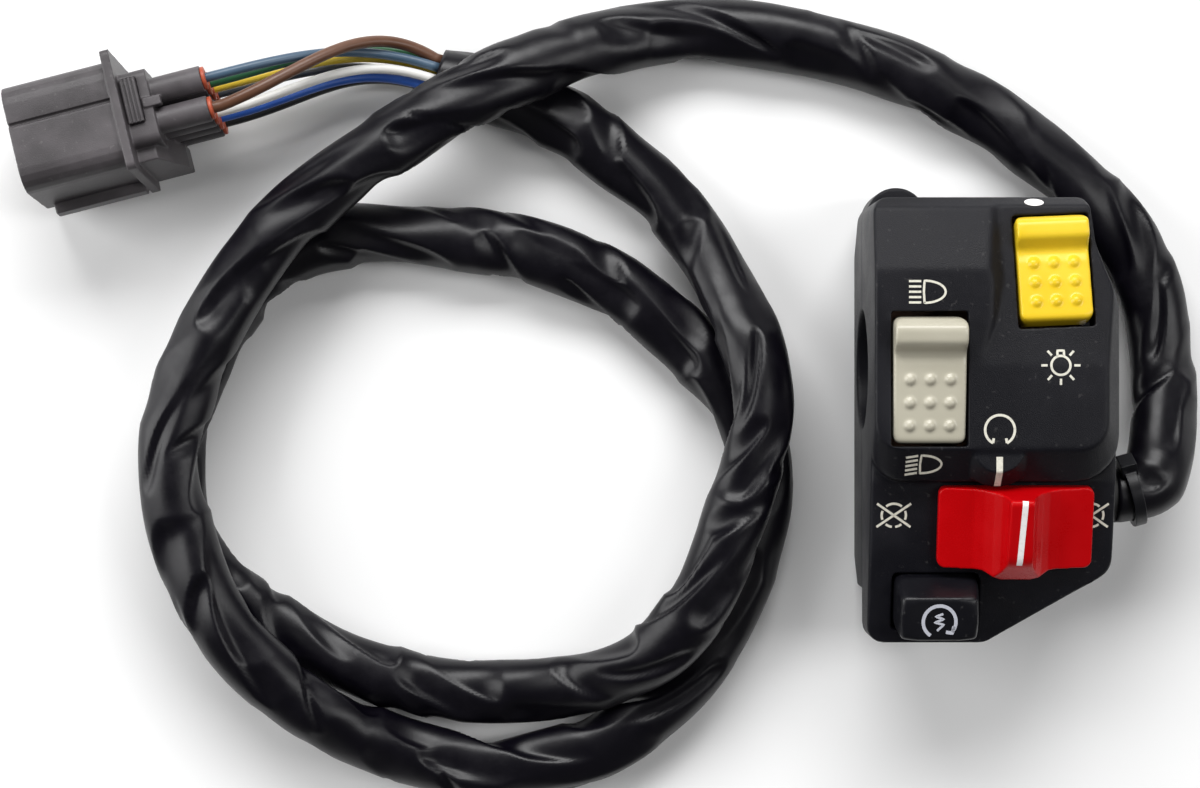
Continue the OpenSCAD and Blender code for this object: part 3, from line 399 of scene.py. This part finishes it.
def off_box(place, low, high, near, far):
    """0 at a box in plan and up to near from it, 1 from far on."""
    off = np.maximum(np.array(low) - place[:, :2], place[:, :2] - np.array(high)).max(axis=1)
    return np.clip((off - near) / (far - near), 0.0, 1.0)


def open_face(place):
    """The housing's open face, off its controls and its pointer lug."""
    weight = np.clip((place[:, 2] - OPEN_FROM) / OPEN_RAMP, 0.0, 1.0)
    for control in CONTROLS:
        cut = points_of(nodes[control].data)[:, :2]
        weight *= off_box(place, cut.min(axis=0), cut.max(axis=0), *CONTROL_RIM)
    return weight * off_box(place, *LUG_BOX, *LUG_RIM)


def outer_band(place):
    """The band along the outline of a control, inside which its dots lie."""
    low, high = place[:, :2].min(axis=0), place[:, :2].max(axis=0)
    inward = np.minimum(place[:, :2] - low, high - place[:, :2]).min(axis=1)
    return 1.0 - np.clip((inward - BAND) / BAND_FADE, 0.0, 1.0)


def face_corners(place):
    """The four corners of the start button's tilted face."""
    reach = place @ push_axis
    plan = np.column_stack((place[:, 0], place @ along_plate))
    face = plan[reach > reach.max() - FACE_SKIN]
    inward = np.minimum(plan - face.min(axis=0), face.max(axis=0) - plan)
    return np.prod(1.0 - np.clip((inward - CORNER) / CORNER_FADE, 0.0, 1.0), axis=1)


BODY_OF = {n: b for b, members in frame["record"]["behaviour"]["bodies"].items() for n in members}
SLOT_OF = {s["node"]: s["material_slot"] for s in frame["record"]["subparts"]}

# Each moulding's finish, voxel, passes, most triangles, zone and passes in the zone
soft = {
    node: moulding(node, *shape)
    for node, shape in {
        "front_housing": (BLACK, 0.2, 4, 190000, open_face, 76),
        "rear_housing": (BLACK, 0.4, 4, 120000),
        "dimmer_rocker": (CREAM, 0.15, 26, 60000, outer_band, 45),
        "light_rocker": (YELLOW, 0.15, 26, 60000, outer_band, 45),
        "stop_slide": (RED, 0.17, 12, 60000),
        "start_button": (BUTTON, 0.16, 6, 40000, face_corners, 280),
        "cable_tie": (BUTTON, 0.12, 4, 30000),
        "connector_housing": (GREY, 0.17, 3, 120000),
    }.items()
}
for node, width, material in (
    ("cable_grommet", 0.3, RUBBER),
    ("connector_retainer", 0.12, GREY),
    ("connector_wire_seals", 0.15, SEAL),
    ("clamp_screws", 0.2, DULL),
):
    soft[node] = softened(node, width, material)
for node, piece in soft.items():
    settled(piece, BODY_OF[node], SLOT_OF[node], node)

# The start button's spring, as a steel copy that rides on the housing
coil = new_piece("start_spring_coil", nodes["start_return_spring"].data.copy(), STEEL)
soft["start_return_spring"] = settled(coil, "housing", "steel", "start_return_spring")
coil_points = points_of(coil.data)
coil_reach = coil_points @ push_axis
tuple(coil_points[coil_reach.argmin()] * MM)
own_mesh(coil)

PLAIN = {"steel": STEEL, "board": BOARD, "contact": BRASS, "button": BUTTON}
# The pivot pins take the near-black steel, which is painted shade for the gaps that they sit in
for node, thing in nodes.items():
    if node not in soft and SLOT_OF[node] in PLAIN:
        thing.data.materials.clear()
        thing.data.materials.append(PIN_SHADE_STEEL if node.endswith("pivot_pins") else PLAIN[SLOT_OF[node]])


# Harness

SLEEVE_ROUTE = [
    (25.02, -23.5, 0), (25.9, -23.5, 0), (26.6, -23.36, 0), (29.5, -22.56, 0), (31.3, -21.5, -0.2),
    (32.9, -19.6, -1), (34.1, -16.8, -2.3), (35, -13, -4.3), (35.7, -8.4, -6.8), (36.1, -3.4, -9.1),
    (36.1, 1.6, -10.6), (35.6, 7, -11.2), (34.6, 12.5, -11.2), (32.9, 17.6, -11.2), (30.2, 23.2, -11.2),
    (26.2, 28.8, -11.2), (21.6, 33.8, -11.2), (17, 37.9, -11.2), (10.6, 43, -11.2), (2.7, 48.6, -11.2),
    (-6.5, 53.6, -11.2), (-16, 58, -11.2), (-26, 61, -11.2), (-36.4, 63.2, -11.2), (-45, 64.4, -11.2),
    (-53, 65, -10.9), (-63.5, 63.5, -9), (-71, 61.5, -6.6), (-78.5, 59, -3.8), (-84.5, 56.5, -1.5),
    (-90.5, 54, 0), (-101, 48, 0.2), (-112.5, 41, 0.2), (-121.5, 34.5, 0.2), (-130, 27, 0.2),
    (-137.5, 18.5, 0.2), (-144, 7.5, 0.2), (-148.5, -3, 0.2), (-151, -13, 0.2), (-150.5, -24.5, 0.2),
    (-148, -34.5, 0.2), (-143.5, -45, -0.2), (-137, -54, -1.6), (-128, -62, -4.5), (-122.5, -65.5, -6.4),
    (-117, -69, -8.5), (-105.5, -73.5, -10.8), (-94, -76, -11.2), (-82.5, -75, -11.2), (-71, -71.5, -11.2),
    (-61.5, -65, -11.2), (-54, -57.5, -11.2), (-48, -47.5, -11.2), (-43, -36, -11.2), (-40.5, -25, -11.2),
    (-41, -15, -11.2), (-44.5, -6.5, -11.2), (-50, 0, -11.2), (-56, 6.5, -11.2), (-67, 15.5, -11.2),
    (-79, 21, -11.2), (-90, 24, -11.2), (-100, 25, -11.2), (-110, 25.5, -11.2), (-119.5, 25.5, -11.2),
    (-128.5, 23.5, -11.2), (-137, 17.5, -11.2), (-144.5, 7.5, -11.2), (-149.5, -3, -11.2),
    (-152.5, -13, -11.2), (-152.5, -23, -11.2), (-150.5, -31, -11.2), (-146, -38, -11.2),
    (-140.5, -43.5, -11.2), (-134.5, -48, -11.2), (-126.5, -52.5, -11.2), (-117, -56.5, -11.2),
    (-105.5, -60, -11.2), (-94, -61.5, -11), (-82.5, -61, -10), (-71.5, -58.5, -7), (-61.5, -53.5, -2.5),
    (-54.5, -46, 0), (-49, -35.5, 0.2), (-45, -24.5, 0.2), (-42, -15, 0.2), (-41, -5.5, -0.3),
    (-43, 5, -2.5), (-45.5, 11, -5.5), (-48.5, 17, -8.5), (-53, 25, -10.8), (-59.5, 33.5, -11.2),
    (-67.5, 40, -11.2), (-75, 46, -11.2), (-82.5, 49.5, -11.2), (-90, 52, -11.2), (-96, 54.3, -11.2),
    (-102, 56.2, -11.2),
]

SPLINE_SHARE = 40
SPLINE_LEAST = 8


def spline(points, step):
    """Points about one step apart on a smooth curve through the given ones."""
    p = np.array(points, float)
    p = np.vstack([2 * p[0] - p[1], p, 2 * p[-1] - p[-2]])
    t = np.linspace(0, 1, SPLINE_SHARE, endpoint=False)[:, None]
    dense = [
        0.5 * (2 * b + (c - a) * t + (2 * a - 5 * b + 4 * c - d) * t**2 + (3 * b - a - 3 * c + d) * t**3)
        for a, b, c, d in zip(p, p[1:], p[2:], p[3:])
    ]
    dense = np.vstack([*dense, p[-2][None]])
    run = np.concatenate([[0], np.cumsum(np.linalg.norm(np.diff(dense, axis=0), axis=1))])
    count = max(int(run[-1] / step), SPLINE_LEAST)
    at = np.linspace(0, run[-1], count + 1)
    return np.stack([np.interp(at, run, dense[:, k]) for k in range(3)], 1), at


def sides_of(path):
    """Level side and upper side at each point of a path."""
    ahead = np.gradient(path, axis=0)
    ahead /= np.linalg.norm(ahead, axis=1)[:, None]
    side = np.cross(ahead, (0, 0, 1))
    side /= np.linalg.norm(side, axis=1)[:, None]
    return side, np.cross(side, ahead)


def tube_mesh(name, path, radii, floor=None):
    """A closed tube whose radius is given at each ring and each way round it, as a grid."""
    rings, around = radii.shape
    side, up = sides_of(path)
    angle = np.linspace(0, 2 * math.pi, around, endpoint=False)
    out = side[:, None] * np.cos(angle)[None, :, None] + up[:, None] * np.sin(angle)[None, :, None]
    points = path[:, None] + out * radii[:, :, None]
    if floor is not None:
        points[:, :, 2] = np.maximum(points[:, :, 2], floor)
    k = np.arange(around)
    n = (k + 1) % around
    band = np.stack([k, n, around + n, around + k], 1)
    faces = np.vstack([i * around + band for i in range(rings - 1)]).tolist()
    faces += [list(range(around))[::-1], [(rings - 1) * around + j for j in range(around)]]
    mesh = bpy.data.meshes.new(name)
    mesh.from_pydata((points.reshape(-1, 3) * MM).tolist(), [], faces)
    mesh.shade_smooth()
    return mesh


class Dent:
    """One hollow in the slack vinyl: a blunt end, a long tail, one steep flank and one slow one."""

    CROSSWISE_SHARE = 0.22
    FINE_SHARE = 0.25
    RIM = 0.07
    BLUNT = (3.5, 7.5)
    # Lean in radians to a millimetre and length of the tail, for a hollow along the sleeve and one across it
    LEAN = ((0.015, 0.085), (0.12, 0.22))
    TAIL = ((10.0, 19.0), (6.0, 10.0))
    # Widths to both sides and depth, for a broad hollow and a fine one
    FLANK = ((1.7, 3.0), (1.0, 1.4))
    SLOPE = ((3.2, 6.0), (1.2, 1.8))
    DEPTH = ((0.8, 2.0), (0.9, 1.5))

    def __init__(self, chance, middle, start):
        crosswise = chance.random() < self.CROSSWISE_SHARE
        fine = chance.random() < self.FINE_SHARE
        self.middle = middle
        self.start = start
        self.lean = -chance.uniform(*self.LEAN[crosswise])
        self.way = 1.0 if chance.random() < 0.5 else -1.0
        self.blunt = chance.uniform(*self.BLUNT)
        self.tail = chance.uniform(*self.TAIL[crosswise])
        self.flank = chance.uniform(*self.FLANK[fine])
        self.slope = chance.uniform(*self.SLOPE[fine])
        self.depth = chance.uniform(*self.DEPTH[fine])

    def press(self, at, angle):
        """How far it moves the skin, in millimetres."""
        along = ((at - self.middle) * self.way)[:, None]
        turn = angle[None, :] - (self.start + self.lean * (at - self.middle))[:, None]
        off = ((turn + math.pi) % (2 * math.pi) - math.pi) * SLEEVE_D / 2
        crisp = (np.maximum(along, 0.0) / self.blunt) ** 2 + (np.minimum(off, 0.0) / self.flank) ** 2
        slow = (np.minimum(along, 0.0) / self.tail) ** 2 + (np.maximum(off, 0.0) / self.slope) ** 2
        return -self.depth * self.RIM * np.logaddexp(0.0, (1.0 - crisp) / self.RIM) * np.exp(-slow)


SKIN_STEP = 0.72
SKIN_AROUND = 72
SKIN_SEED = 11
# Half widths of the flattened sleeve, and how far they and its roll wander
SKIN_WIDE = 6.4
SKIN_LOW = 5.5
SKIN_SWELL = (0.5, 0.25)
SKIN_ROLL = 0.8
ROLL_RATE = 0.02
SWELL_RATE = 0.035
# The hollows: where they begin and end, the reach of one, and the steps along and round to the next one
FIRST_HOLLOW = 4.0
FIRST_TURN = 2.0
LAST_HOLLOW = 3.0
HOLLOW_REACH = 44.0
HOLLOW_STEP = (2.2, 5.0)
HOLLOW_TURN = (1.5, 3.3)
# The side that lies outward in the loops is pulled smoother
TAUT_SHARE = 0.6
TAUT_WIDTH = 0.7
# Plain ends, and the least and largest radius
PLAIN_START = 3.0
PLAIN_FADE = 5.0
PLAIN_FIT = 0.97
RADIUS_RANGE = (3.8, 6.4)


def skin_radii(at, around):
    """Radius of the vinyl at each ring: a flattened tube full of hollows, with narrow folds between."""
    chance = np.random.default_rng(SKIN_SEED)
    angle = np.linspace(0, 2 * math.pi, around, endpoint=False)
    drift = np.array([noise.noise((s * ROLL_RATE, 1.0, 8.0)) for s in at])
    swell = np.array([noise.noise((s * SWELL_RATE, 21.0, 4.0)) for s in at])
    turn = angle[None, :] - SKIN_ROLL * drift[:, None]
    wide = SKIN_WIDE + SKIN_SWELL[0] * swell
    low = SKIN_LOW - SKIN_SWELL[1] * swell
    level = (np.cos(turn) / wide[:, None]) ** 2 + (np.sin(turn) / low[:, None]) ** 2
    hollow = np.zeros((len(at), around))
    middle = FIRST_HOLLOW
    start = FIRST_TURN
    while middle < at[-1] - LAST_HOLLOW:
        near = np.nonzero(np.abs(at - middle) < HOLLOW_REACH)[0]
        hollow[near] = np.minimum(hollow[near], Dent(chance, middle, start).press(at[near], angle))
        middle += chance.uniform(*HOLLOW_STEP)
        start += chance.uniform(*HOLLOW_TURN)
    off_outer = (angle + math.pi) % (2 * math.pi) - math.pi
    hollow *= 1.0 - TAUT_SHARE * np.exp(-((off_outer / TAUT_WIDTH) ** 2))
    return 1.0 / np.sqrt(level) + hollow


sleeve_path, sleeve_at = spline(SLEEVE_ROUTE, SKIN_STEP)
from_ends = np.minimum(sleeve_at - PLAIN_START, sleeve_at[-1] - sleeve_at)
slack = np.clip(from_ends / PLAIN_FADE, 0.0, 1.0)[:, None]
radii = skin_radii(sleeve_at, SKIN_AROUND)
radii = slack * radii + (1 - slack) * SLEEVE_D / 2 * PLAIN_FIT
radii = np.clip(radii, *RADIUS_RANGE)
sleeve_mesh = tube_mesh("harness_sleeve_skin", sleeve_path, radii, floor=FLOOR)
sleeve = new_piece("harness_sleeve_skin", sleeve_mesh, SLEEVE)
settled(sleeve, "housing", "sleeve", "harness_sleeve")

CONNECTOR_AT = np.array((-160.13, 46.15, -2.388))
CONNECTOR_TURN = math.radians(14.5)
CONNECTOR_ROLL = math.radians(-6.0)
SEAL_END = 17.2
COLUMN_PITCH = 5.8
ROW_PITCH = 4.8
WIRE_SEAT = 14.2
WIRE_STRAIGHT = 4.7
WIRE_REACH = 16
WIRE_EASE = 0.55
WIRE_AROUND = 16
WIRE_STEPS = 90
MOUTH_STEPS = 8
BUNDLE_R = 3.0
BUNDLE_OUT = 1.4
BUNDLE_END = 0.15
BUNDLE_TURN = 45
# Each wire's column and row in the connector, width, place in the bundle, lift and push aside
WIRE_PLAN = {
    "wire_brown": (-0.5, 1.5, 2.2, 0, 4.0, 3.8), "wire_yellow": (0.5, -0.5, 1.8, 6, 0.0, 0.0),
    "wire_grey": (0.5, -1.5, 1.8, 5, 0.0, 0.0), "wire_white": (-0.5, 0.5, 1.8, 2, 0.0, 0.0),
    "wire_blue": (-0.5, -0.5, 1.8, 3, 0.0, 0.0), "wire_black": (-0.5, -1.5, 1.8, 4, 0.0, 0.0),
    "wire_sky": (0.5, 1.5, 1.8, 1, 0.0, 0.0), "wire_green": (0.5, 0.5, 1.8, 7, 0.0, 0.0),
}


def on_connector(x, y, z):
    """A place given on the connector, in the part's frame."""
    c, s = math.cos(CONNECTOR_ROLL), math.sin(CONNECTOR_ROLL)
    y, z = y * c - z * s, y * s + z * c
    c, s = math.cos(CONNECTOR_TURN), math.sin(CONNECTOR_TURN)
    return CONNECTOR_AT + (x * c - y * s, x * s + y * c, z)


def seal_lips():
    """A rounded lip round every wire where it enters its seal."""
    sizes = {"Column Pitch": COLUMN_PITCH, "Row Pitch": ROW_PITCH, "Lip Radius": 1.5, "Lip Thickness": 0.3}
    lips = Growth("seal_lips", {label: size * MM for label, size in sizes.items()})
    places = lips.add("GeometryNodeMeshGrid", None, {
        "Size X": lips.size("Column Pitch"), "Size Y": lips.size("Row Pitch") * 3.0,
        "Vertices X": 2, "Vertices Y": 4,
    })
    circle = "GeometryNodeCurvePrimitiveCircle"
    ring = lips.add(circle, None, {"Resolution": 28, "Radius": lips.size("Lip Radius")})
    bead = lips.add(circle, None, {"Resolution": 10, "Radius": lips.size("Lip Thickness")})
    lip = lips.add("GeometryNodeCurveToMesh", None, {"Curve": ring, "Profile Curve": bead})
    spread = lips.add("GeometryNodeInstanceOnPoints", None, {"Points": places, "Instance": lip})
    piece = lips.grown("seal_lips", spread, SEAL)
    origin = on_connector(SEAL_END, 0, 0)
    axes = [on_connector(SEAL_END, 1, 0), on_connector(SEAL_END, 0, 1), on_connector(SEAL_END + 1, 0, 0)]
    turned = Matrix([(*(axis - origin), 0) for axis in axes] + [(0, 0, 0, 1)]).transposed()
    piece.data.transform(Matrix.Translation(Vector(origin * MM)) @ turned)
    piece.data.shade_smooth()
    return settled(piece, "housing", SLOT_OF["connector_wire_seals"])


def wire_path(column, row, slot, lift, push):
    """A wire's way from the sleeve's end to its seal."""
    start = on_connector(WIRE_SEAT, column * COLUMN_PITCH, row * ROW_PITCH)
    out = np.array((math.cos(CONNECTOR_TURN), math.sin(CONNECTOR_TURN), 0.0))
    mouth = start + out * WIRE_STRAIGHT
    end = np.array(SLEEVE_ROUTE[-1], float)
    back = end - SLEEVE_ROUTE[-2]
    back /= np.linalg.norm(back)
    side = np.cross((0, 0, 1), back)
    turn = math.radians(BUNDLE_TURN / 2 + BUNDLE_TURN * slot)
    end = end + BUNDLE_R * (-side * math.cos(turn) + np.array((0, 0, 1)) * math.sin(turn))
    aside = np.array((0, 0, lift)) - side * push
    t = np.linspace(0, 1, WIRE_STEPS)[:, None]
    run = (1 - t) ** 3 * mouth + 3 * (1 - t) ** 2 * t * (mouth + out * WIRE_REACH + aside * WIRE_EASE)
    leave = end + back * BUNDLE_OUT
    run = run + 3 * (1 - t) * t**2 * (leave + back * WIRE_REACH + aside) + t**3 * leave
    return np.vstack([np.linspace(start, mouth, MOUTH_STEPS)[:-1], run, end + back * BUNDLE_END])[::-1]


for name, (column, row, width, slot, lift, push) in WIRE_PLAN.items():
    path = wire_path(column, row, slot, lift, push)
    mesh = tube_mesh(name + "_skin", path, np.full((len(path), WIRE_AROUND), width / 2))
    wire = settled(new_piece(name + "_skin", mesh, WIRES[name]), "housing", name, name)
sleeve_end = [soft[n] for n in ("connector_housing", "connector_retainer", "connector_wire_seals")]
sleeve_end + [nodes["connector_terminals"], seal_lips()]


# Printed signs, laid on whatever surface is under them

# Sizes of the paint in millimetres, and the step of an arc in degrees
LIFT = 0.04
COAT = 0.08
STROKE_STEP = 0.25
MEET = 1e-6
ARC_STEP = 9
SPOT_RINGS = 4
SPOT_AROUND = 28
# In metres: the height that paint drops from, and how near its corners are when they merge
DROP_FROM = 0.1
PAINT_WELD = 1e-8


def surface(*names):
    """The softened pieces as shapes to drop paint on."""
    shapes = []
    for name in names:
        mesh = soft[name].data
        corners = [v.co for v in mesh.vertices]
        shapes.append(BVHTree.FromPolygons(corners, [list(p.vertices) for p in mesh.polygons]))
    return shapes


def dropped(shapes, x, y):
    """Height of the topmost surface at a place in plan, in millimetres."""
    best = None
    for shape in shapes:
        hit = shape.ray_cast(Vector((x * MM, y * MM, DROP_FROM)), Vector((0, 0, -1)))[0]
        if hit is not None and (best is None or hit.z > best):
            best = hit.z
    return None if best is None else best / MM


def arc(x, y, r, start, end, squash=1.0):
    """Points on an arc between two angles in degrees."""
    count = max(int(abs(end - start) / ARC_STEP), 2)
    turns = [math.radians(start + (end - start) * i / count) for i in range(count + 1)]
    return [(x + r * math.cos(t), y + r * squash * math.sin(t)) for t in turns]


def stroke(shapes, points, width, lift):
    """A painted line of even width that follows the surface."""
    line = [np.array(p, float) for p in points]
    fine = []
    for a, b in zip(line, line[1:]):
        count = max(int(np.linalg.norm(b - a) / STROKE_STEP), 1)
        fine += [a + (b - a) * i / count for i in range(count)]
    fine.append(line[-1])
    closed = np.linalg.norm(fine[0] - fine[-1]) < MEET
    verts, faces = [], []
    for i, p in enumerate(fine):
        before = fine[i - 1] if i else (fine[-2] if closed else p)
        after = fine[i + 1] if i + 1 < len(fine) else (fine[1] if closed else p)
        way = after - before
        way /= np.linalg.norm(way)
        across = np.array((-way[1], way[0])) * width / 2
        for q in (p + across, p - across):
            z = dropped(shapes, q[0], q[1])
            verts.append((q[0] * MM, q[1] * MM, ((z if z is not None else 0) + lift) * MM))
    for i in range(len(fine) - 1):
        faces.append((2 * i, 2 * i + 1, 2 * i + 3, 2 * i + 2))
    return verts, faces


def patch(shapes, x, y, rx, ry, lift):
    """A painted oval spot."""
    verts, faces = [], []
    for r in range(SPOT_RINGS + 1):
        for k in range(SPOT_AROUND):
            a = 2 * math.pi * k / SPOT_AROUND
            px, py = x + rx * r / SPOT_RINGS * math.cos(a), y + ry * r / SPOT_RINGS * math.sin(a)
            verts.append((px * MM, py * MM, (dropped(shapes, px, py) + lift) * MM))
    for inner in range(0, SPOT_RINGS * SPOT_AROUND, SPOT_AROUND):
        outer = inner + SPOT_AROUND
        for k in range(SPOT_AROUND):
            n = (k + 1) % SPOT_AROUND
            faces.append((inner + k, outer + k, outer + n, inner + n))
    return verts, faces


def sign(name, parts, material, body):
    """Joins painted strokes into one thin piece."""
    verts, faces = [], []
    for v, f in parts:
        faces += [tuple(i + len(verts) for i in face) for face in f]
        verts += v
    mesh = bpy.data.meshes.new(name)
    mesh.from_pydata(verts, [], faces)
    shape = bmesh.new()
    shape.from_mesh(mesh)
    bmesh.ops.remove_doubles(shape, verts=shape.verts, dist=PAINT_WELD)
    for face in shape.faces:
        face.normal_update()
        if face.normal.z < 0:
            face.normal_flip()
    shape.to_mesh(mesh)
    shape.free()
    piece = new_piece(name, mesh, material)
    coat = piece.modifiers.new("coat", "SOLIDIFY")
    coat.thickness = COAT * MM
    coat.offset = -1.0
    as_mesh(piece)
    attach(piece, body)
    return piece


house = surface("front_housing")


def lamp(x, y, w, h, slant, thick):
    """Main or dipped beam lamp sign: rays on the left, a lens on the right."""
    lines = []
    for k in range(5):
        level = y + h * (0.5 - k / 4)
        lines.append(stroke(house, [(x - w * 0.5, level - slant), (x - w * 0.17, level)], thick, LIFT))
    back = x - w * 0.08
    lens = [(back, y + h * 0.52), (back - w * 0.02, y), (back, y - h * 0.52)]
    bow = arc(back, y, h * 0.52, -90, 90)
    bow = [(back + (px - back) * w * 0.57 / (h * 0.52), py) for px, py in bow]
    return lines + [stroke(house, lens + bow, thick, LIFT)]


def bulb(x, y, r, thick):
    """Lamp sign: a round bulb with its cap and rays."""
    parts = [stroke(house, arc(x, y, r, 0, 360), thick, LIFT)]
    for turn in (0, 48, 132, 180, 228, 270, 312):
        t = math.radians(turn)
        ray = [(x + reach * math.cos(t), y + reach * math.sin(t)) for reach in (r * 1.4, r * 2.05)]
        parts.append(stroke(house, ray, thick, LIFT))
    w = r * 0.34
    foot, top = y + r * 0.95, y + r * 1.55
    cap = [(x - w, foot), (x - w, top), (x + w, top), (x + w, foot)]
    parts.append(stroke(house, cap, thick, LIFT))
    return parts


def run_sign(x, y, r, thick):
    """Engine run sign: an open ring with a tick at each end."""
    ring = arc(x, y, r, -62, 242)
    ends = ((ring[0], -r * 0.05), (ring[-1], r * 0.05))
    ticks = [[end, (end[0] + aside, end[1] + r * 0.32)] for end, aside in ends]
    return [stroke(house, ring, thick, LIFT)] + [stroke(house, t, thick, LIFT) for t in ticks]


def off_sign(x, y, r, thick, squash):
    """Engine off sign: a broken ring with a cross over it."""
    parts = []
    for start, end in ((50, 130), (158, 202), (230, 262), (278, 310), (-22, 22)):
        parts.append(stroke(house, arc(x, y, r, start, end, squash), thick, LIFT))
    w, h = r * 1.4, r * squash
    parts.append(stroke(house, [(x - w, y - h), (x + w, y + h)], thick, LIFT))
    parts.append(stroke(house, [(x - w, y + h), (x + w, y - h)], thick, LIFT))
    return parts


signs = lamp(-12.85, 13.6, w=6.6, h=3.8, slant=0.0, thick=0.4)
signs += lamp(-13.3, -17.2, w=6.5, h=3.1, slant=0.35, thick=0.38)
signs += bulb(10.9, 0.5, r=1.7, thick=0.42)
signs += run_sign(0.05, -11.0, r=2.65, thick=0.45)
for side in (-17.9, 17.9):
    signs += off_sign(side, -26.6, r=2.2, thick=0.42, squash=0.97)
sign("printed_signs", signs, PRINT, "housing")
sign("index_mark", [stroke(house, [(0.05, -15.8), (0.05, -21.1)], 1.15, 2 * LIFT)], PRINT, "housing")
sign("paint_dot", [patch(house, 6.9, 29.9, rx=1.75, ry=0.7, lift=LIFT)], WHITE, "housing")

slide = surface("stop_slide")
sign("slide_line", [stroke(slide, [(4.3, -23.6), (3.8, -35.3)], 1.05, LIFT)], WHITE, "stop")
button = surface("start_button")


def start_sign(x, y, r, thick):
    """Start sign: a ring that ends in an arrow, with a bolt inside it."""
    ring = arc(x, y, r, -38, 238)
    zigzag = [(0.21, 0.5), (-0.25, 0.33), (0.26, 0.17), (-0.3, -0.03), (0.27, -0.17), (-0.14, -0.55)]
    bolt = [(x + r * a, y + r * b) for a, b in zigzag]
    tip = ring[0]
    head = [(tip[0] + r * a, tip[1] + r * b) for a, b in ((-0.38, -0.02), (0.02, -0.08), (0.1, 0.34))]
    lines = ((ring, thick), (head, thick), (bolt, thick * 0.66))
    return [stroke(button, points, width, LIFT) for points, width in lines]


sign("start_sign", start_sign(-9.95, -45.7, r=2.95, thick=0.62), PALE, "start")


# Studio

FLOOR_HALF = 4
FLOOR_DROP = 0.05
floor_mesh = bpy.data.meshes.new("studio_floor")
floor_corners = [(x * FLOOR_HALF, y * FLOOR_HALF) for x, y in ((-1, -1), (1, -1), (1, 1), (-1, 1))]
floor_mesh.from_pydata([(x, y, (FLOOR - FLOOR_DROP) * MM) for x, y in floor_corners], [], [(0, 1, 2, 3)])
studio = Finish("studio_floor")
floor_tone = studio.grain(3.0, 2.0, 0.5)
studio.set(base_color=studio.mix(floor_tone, rgb(0.86, 0.86, 0.86), rgb(0.9, 0.9, 0.9)), roughness=0.7)
new_piece("studio_floor", floor_mesh, studio.material)

BOX_AIM = (-0.06, 0.0, 0.0)
AIR_STRENGTH = 0.1


def softbox(name, place, width, height, power):
    """A rectangular light that faces the part."""
    light = bpy.data.lights.new(name, "AREA")
    light.shape = "RECTANGLE"
    light.size, light.size_y = width, height
    light.energy = power
    lamp_object = bpy.data.objects.new(name, light)
    lamp_object.location = place
    lamp_object.rotation_euler = (Vector(BOX_AIM) - Vector(place)).to_track_quat("-Z", "Y").to_euler()
    bpy.context.scene.collection.objects.link(lamp_object)


softbox("upper_box", (-0.1, 0.78, 0.68), width=1.0, height=0.4, power=13.0)
softbox("left_box", (-0.85, 0.1, 0.4), width=0.5, height=0.9, power=6.8)
softbox("right_box", (0.62, 0.05, 0.72), width=0.3, height=0.8, power=3.4)
world = bpy.data.worlds.new("studio_air")
world.use_nodes = True
world.node_tree.nodes["Background"].inputs["Color"].default_value = rgb(1.0, 1.0, 1.0)
world.node_tree.nodes["Background"].inputs["Strength"].default_value = AIR_STRENGTH
bpy.context.scene.world = world
bpy.context.scene.view_settings.view_transform = "Standard"

# The view shows VIEW_WIDTH millimetres at a distance of VIEW_FROM
SENSOR = 36.0
VIEW_FROM = 500.0
VIEW_WIDTH = 213.6
CAMERA_AT = (-71.15, -4.6, 525)
camera = bpy.data.cameras.new("photo_view")
camera.sensor_fit = "HORIZONTAL"
camera.sensor_width = SENSOR
camera.lens = SENSOR * VIEW_FROM / VIEW_WIDTH
camera_object = bpy.data.objects.new("photo_view", camera)
camera_object.location = [at * MM for at in CAMERA_AT]
bpy.context.scene.collection.objects.link(camera_object)
bpy.context.scene.camera = camera_object
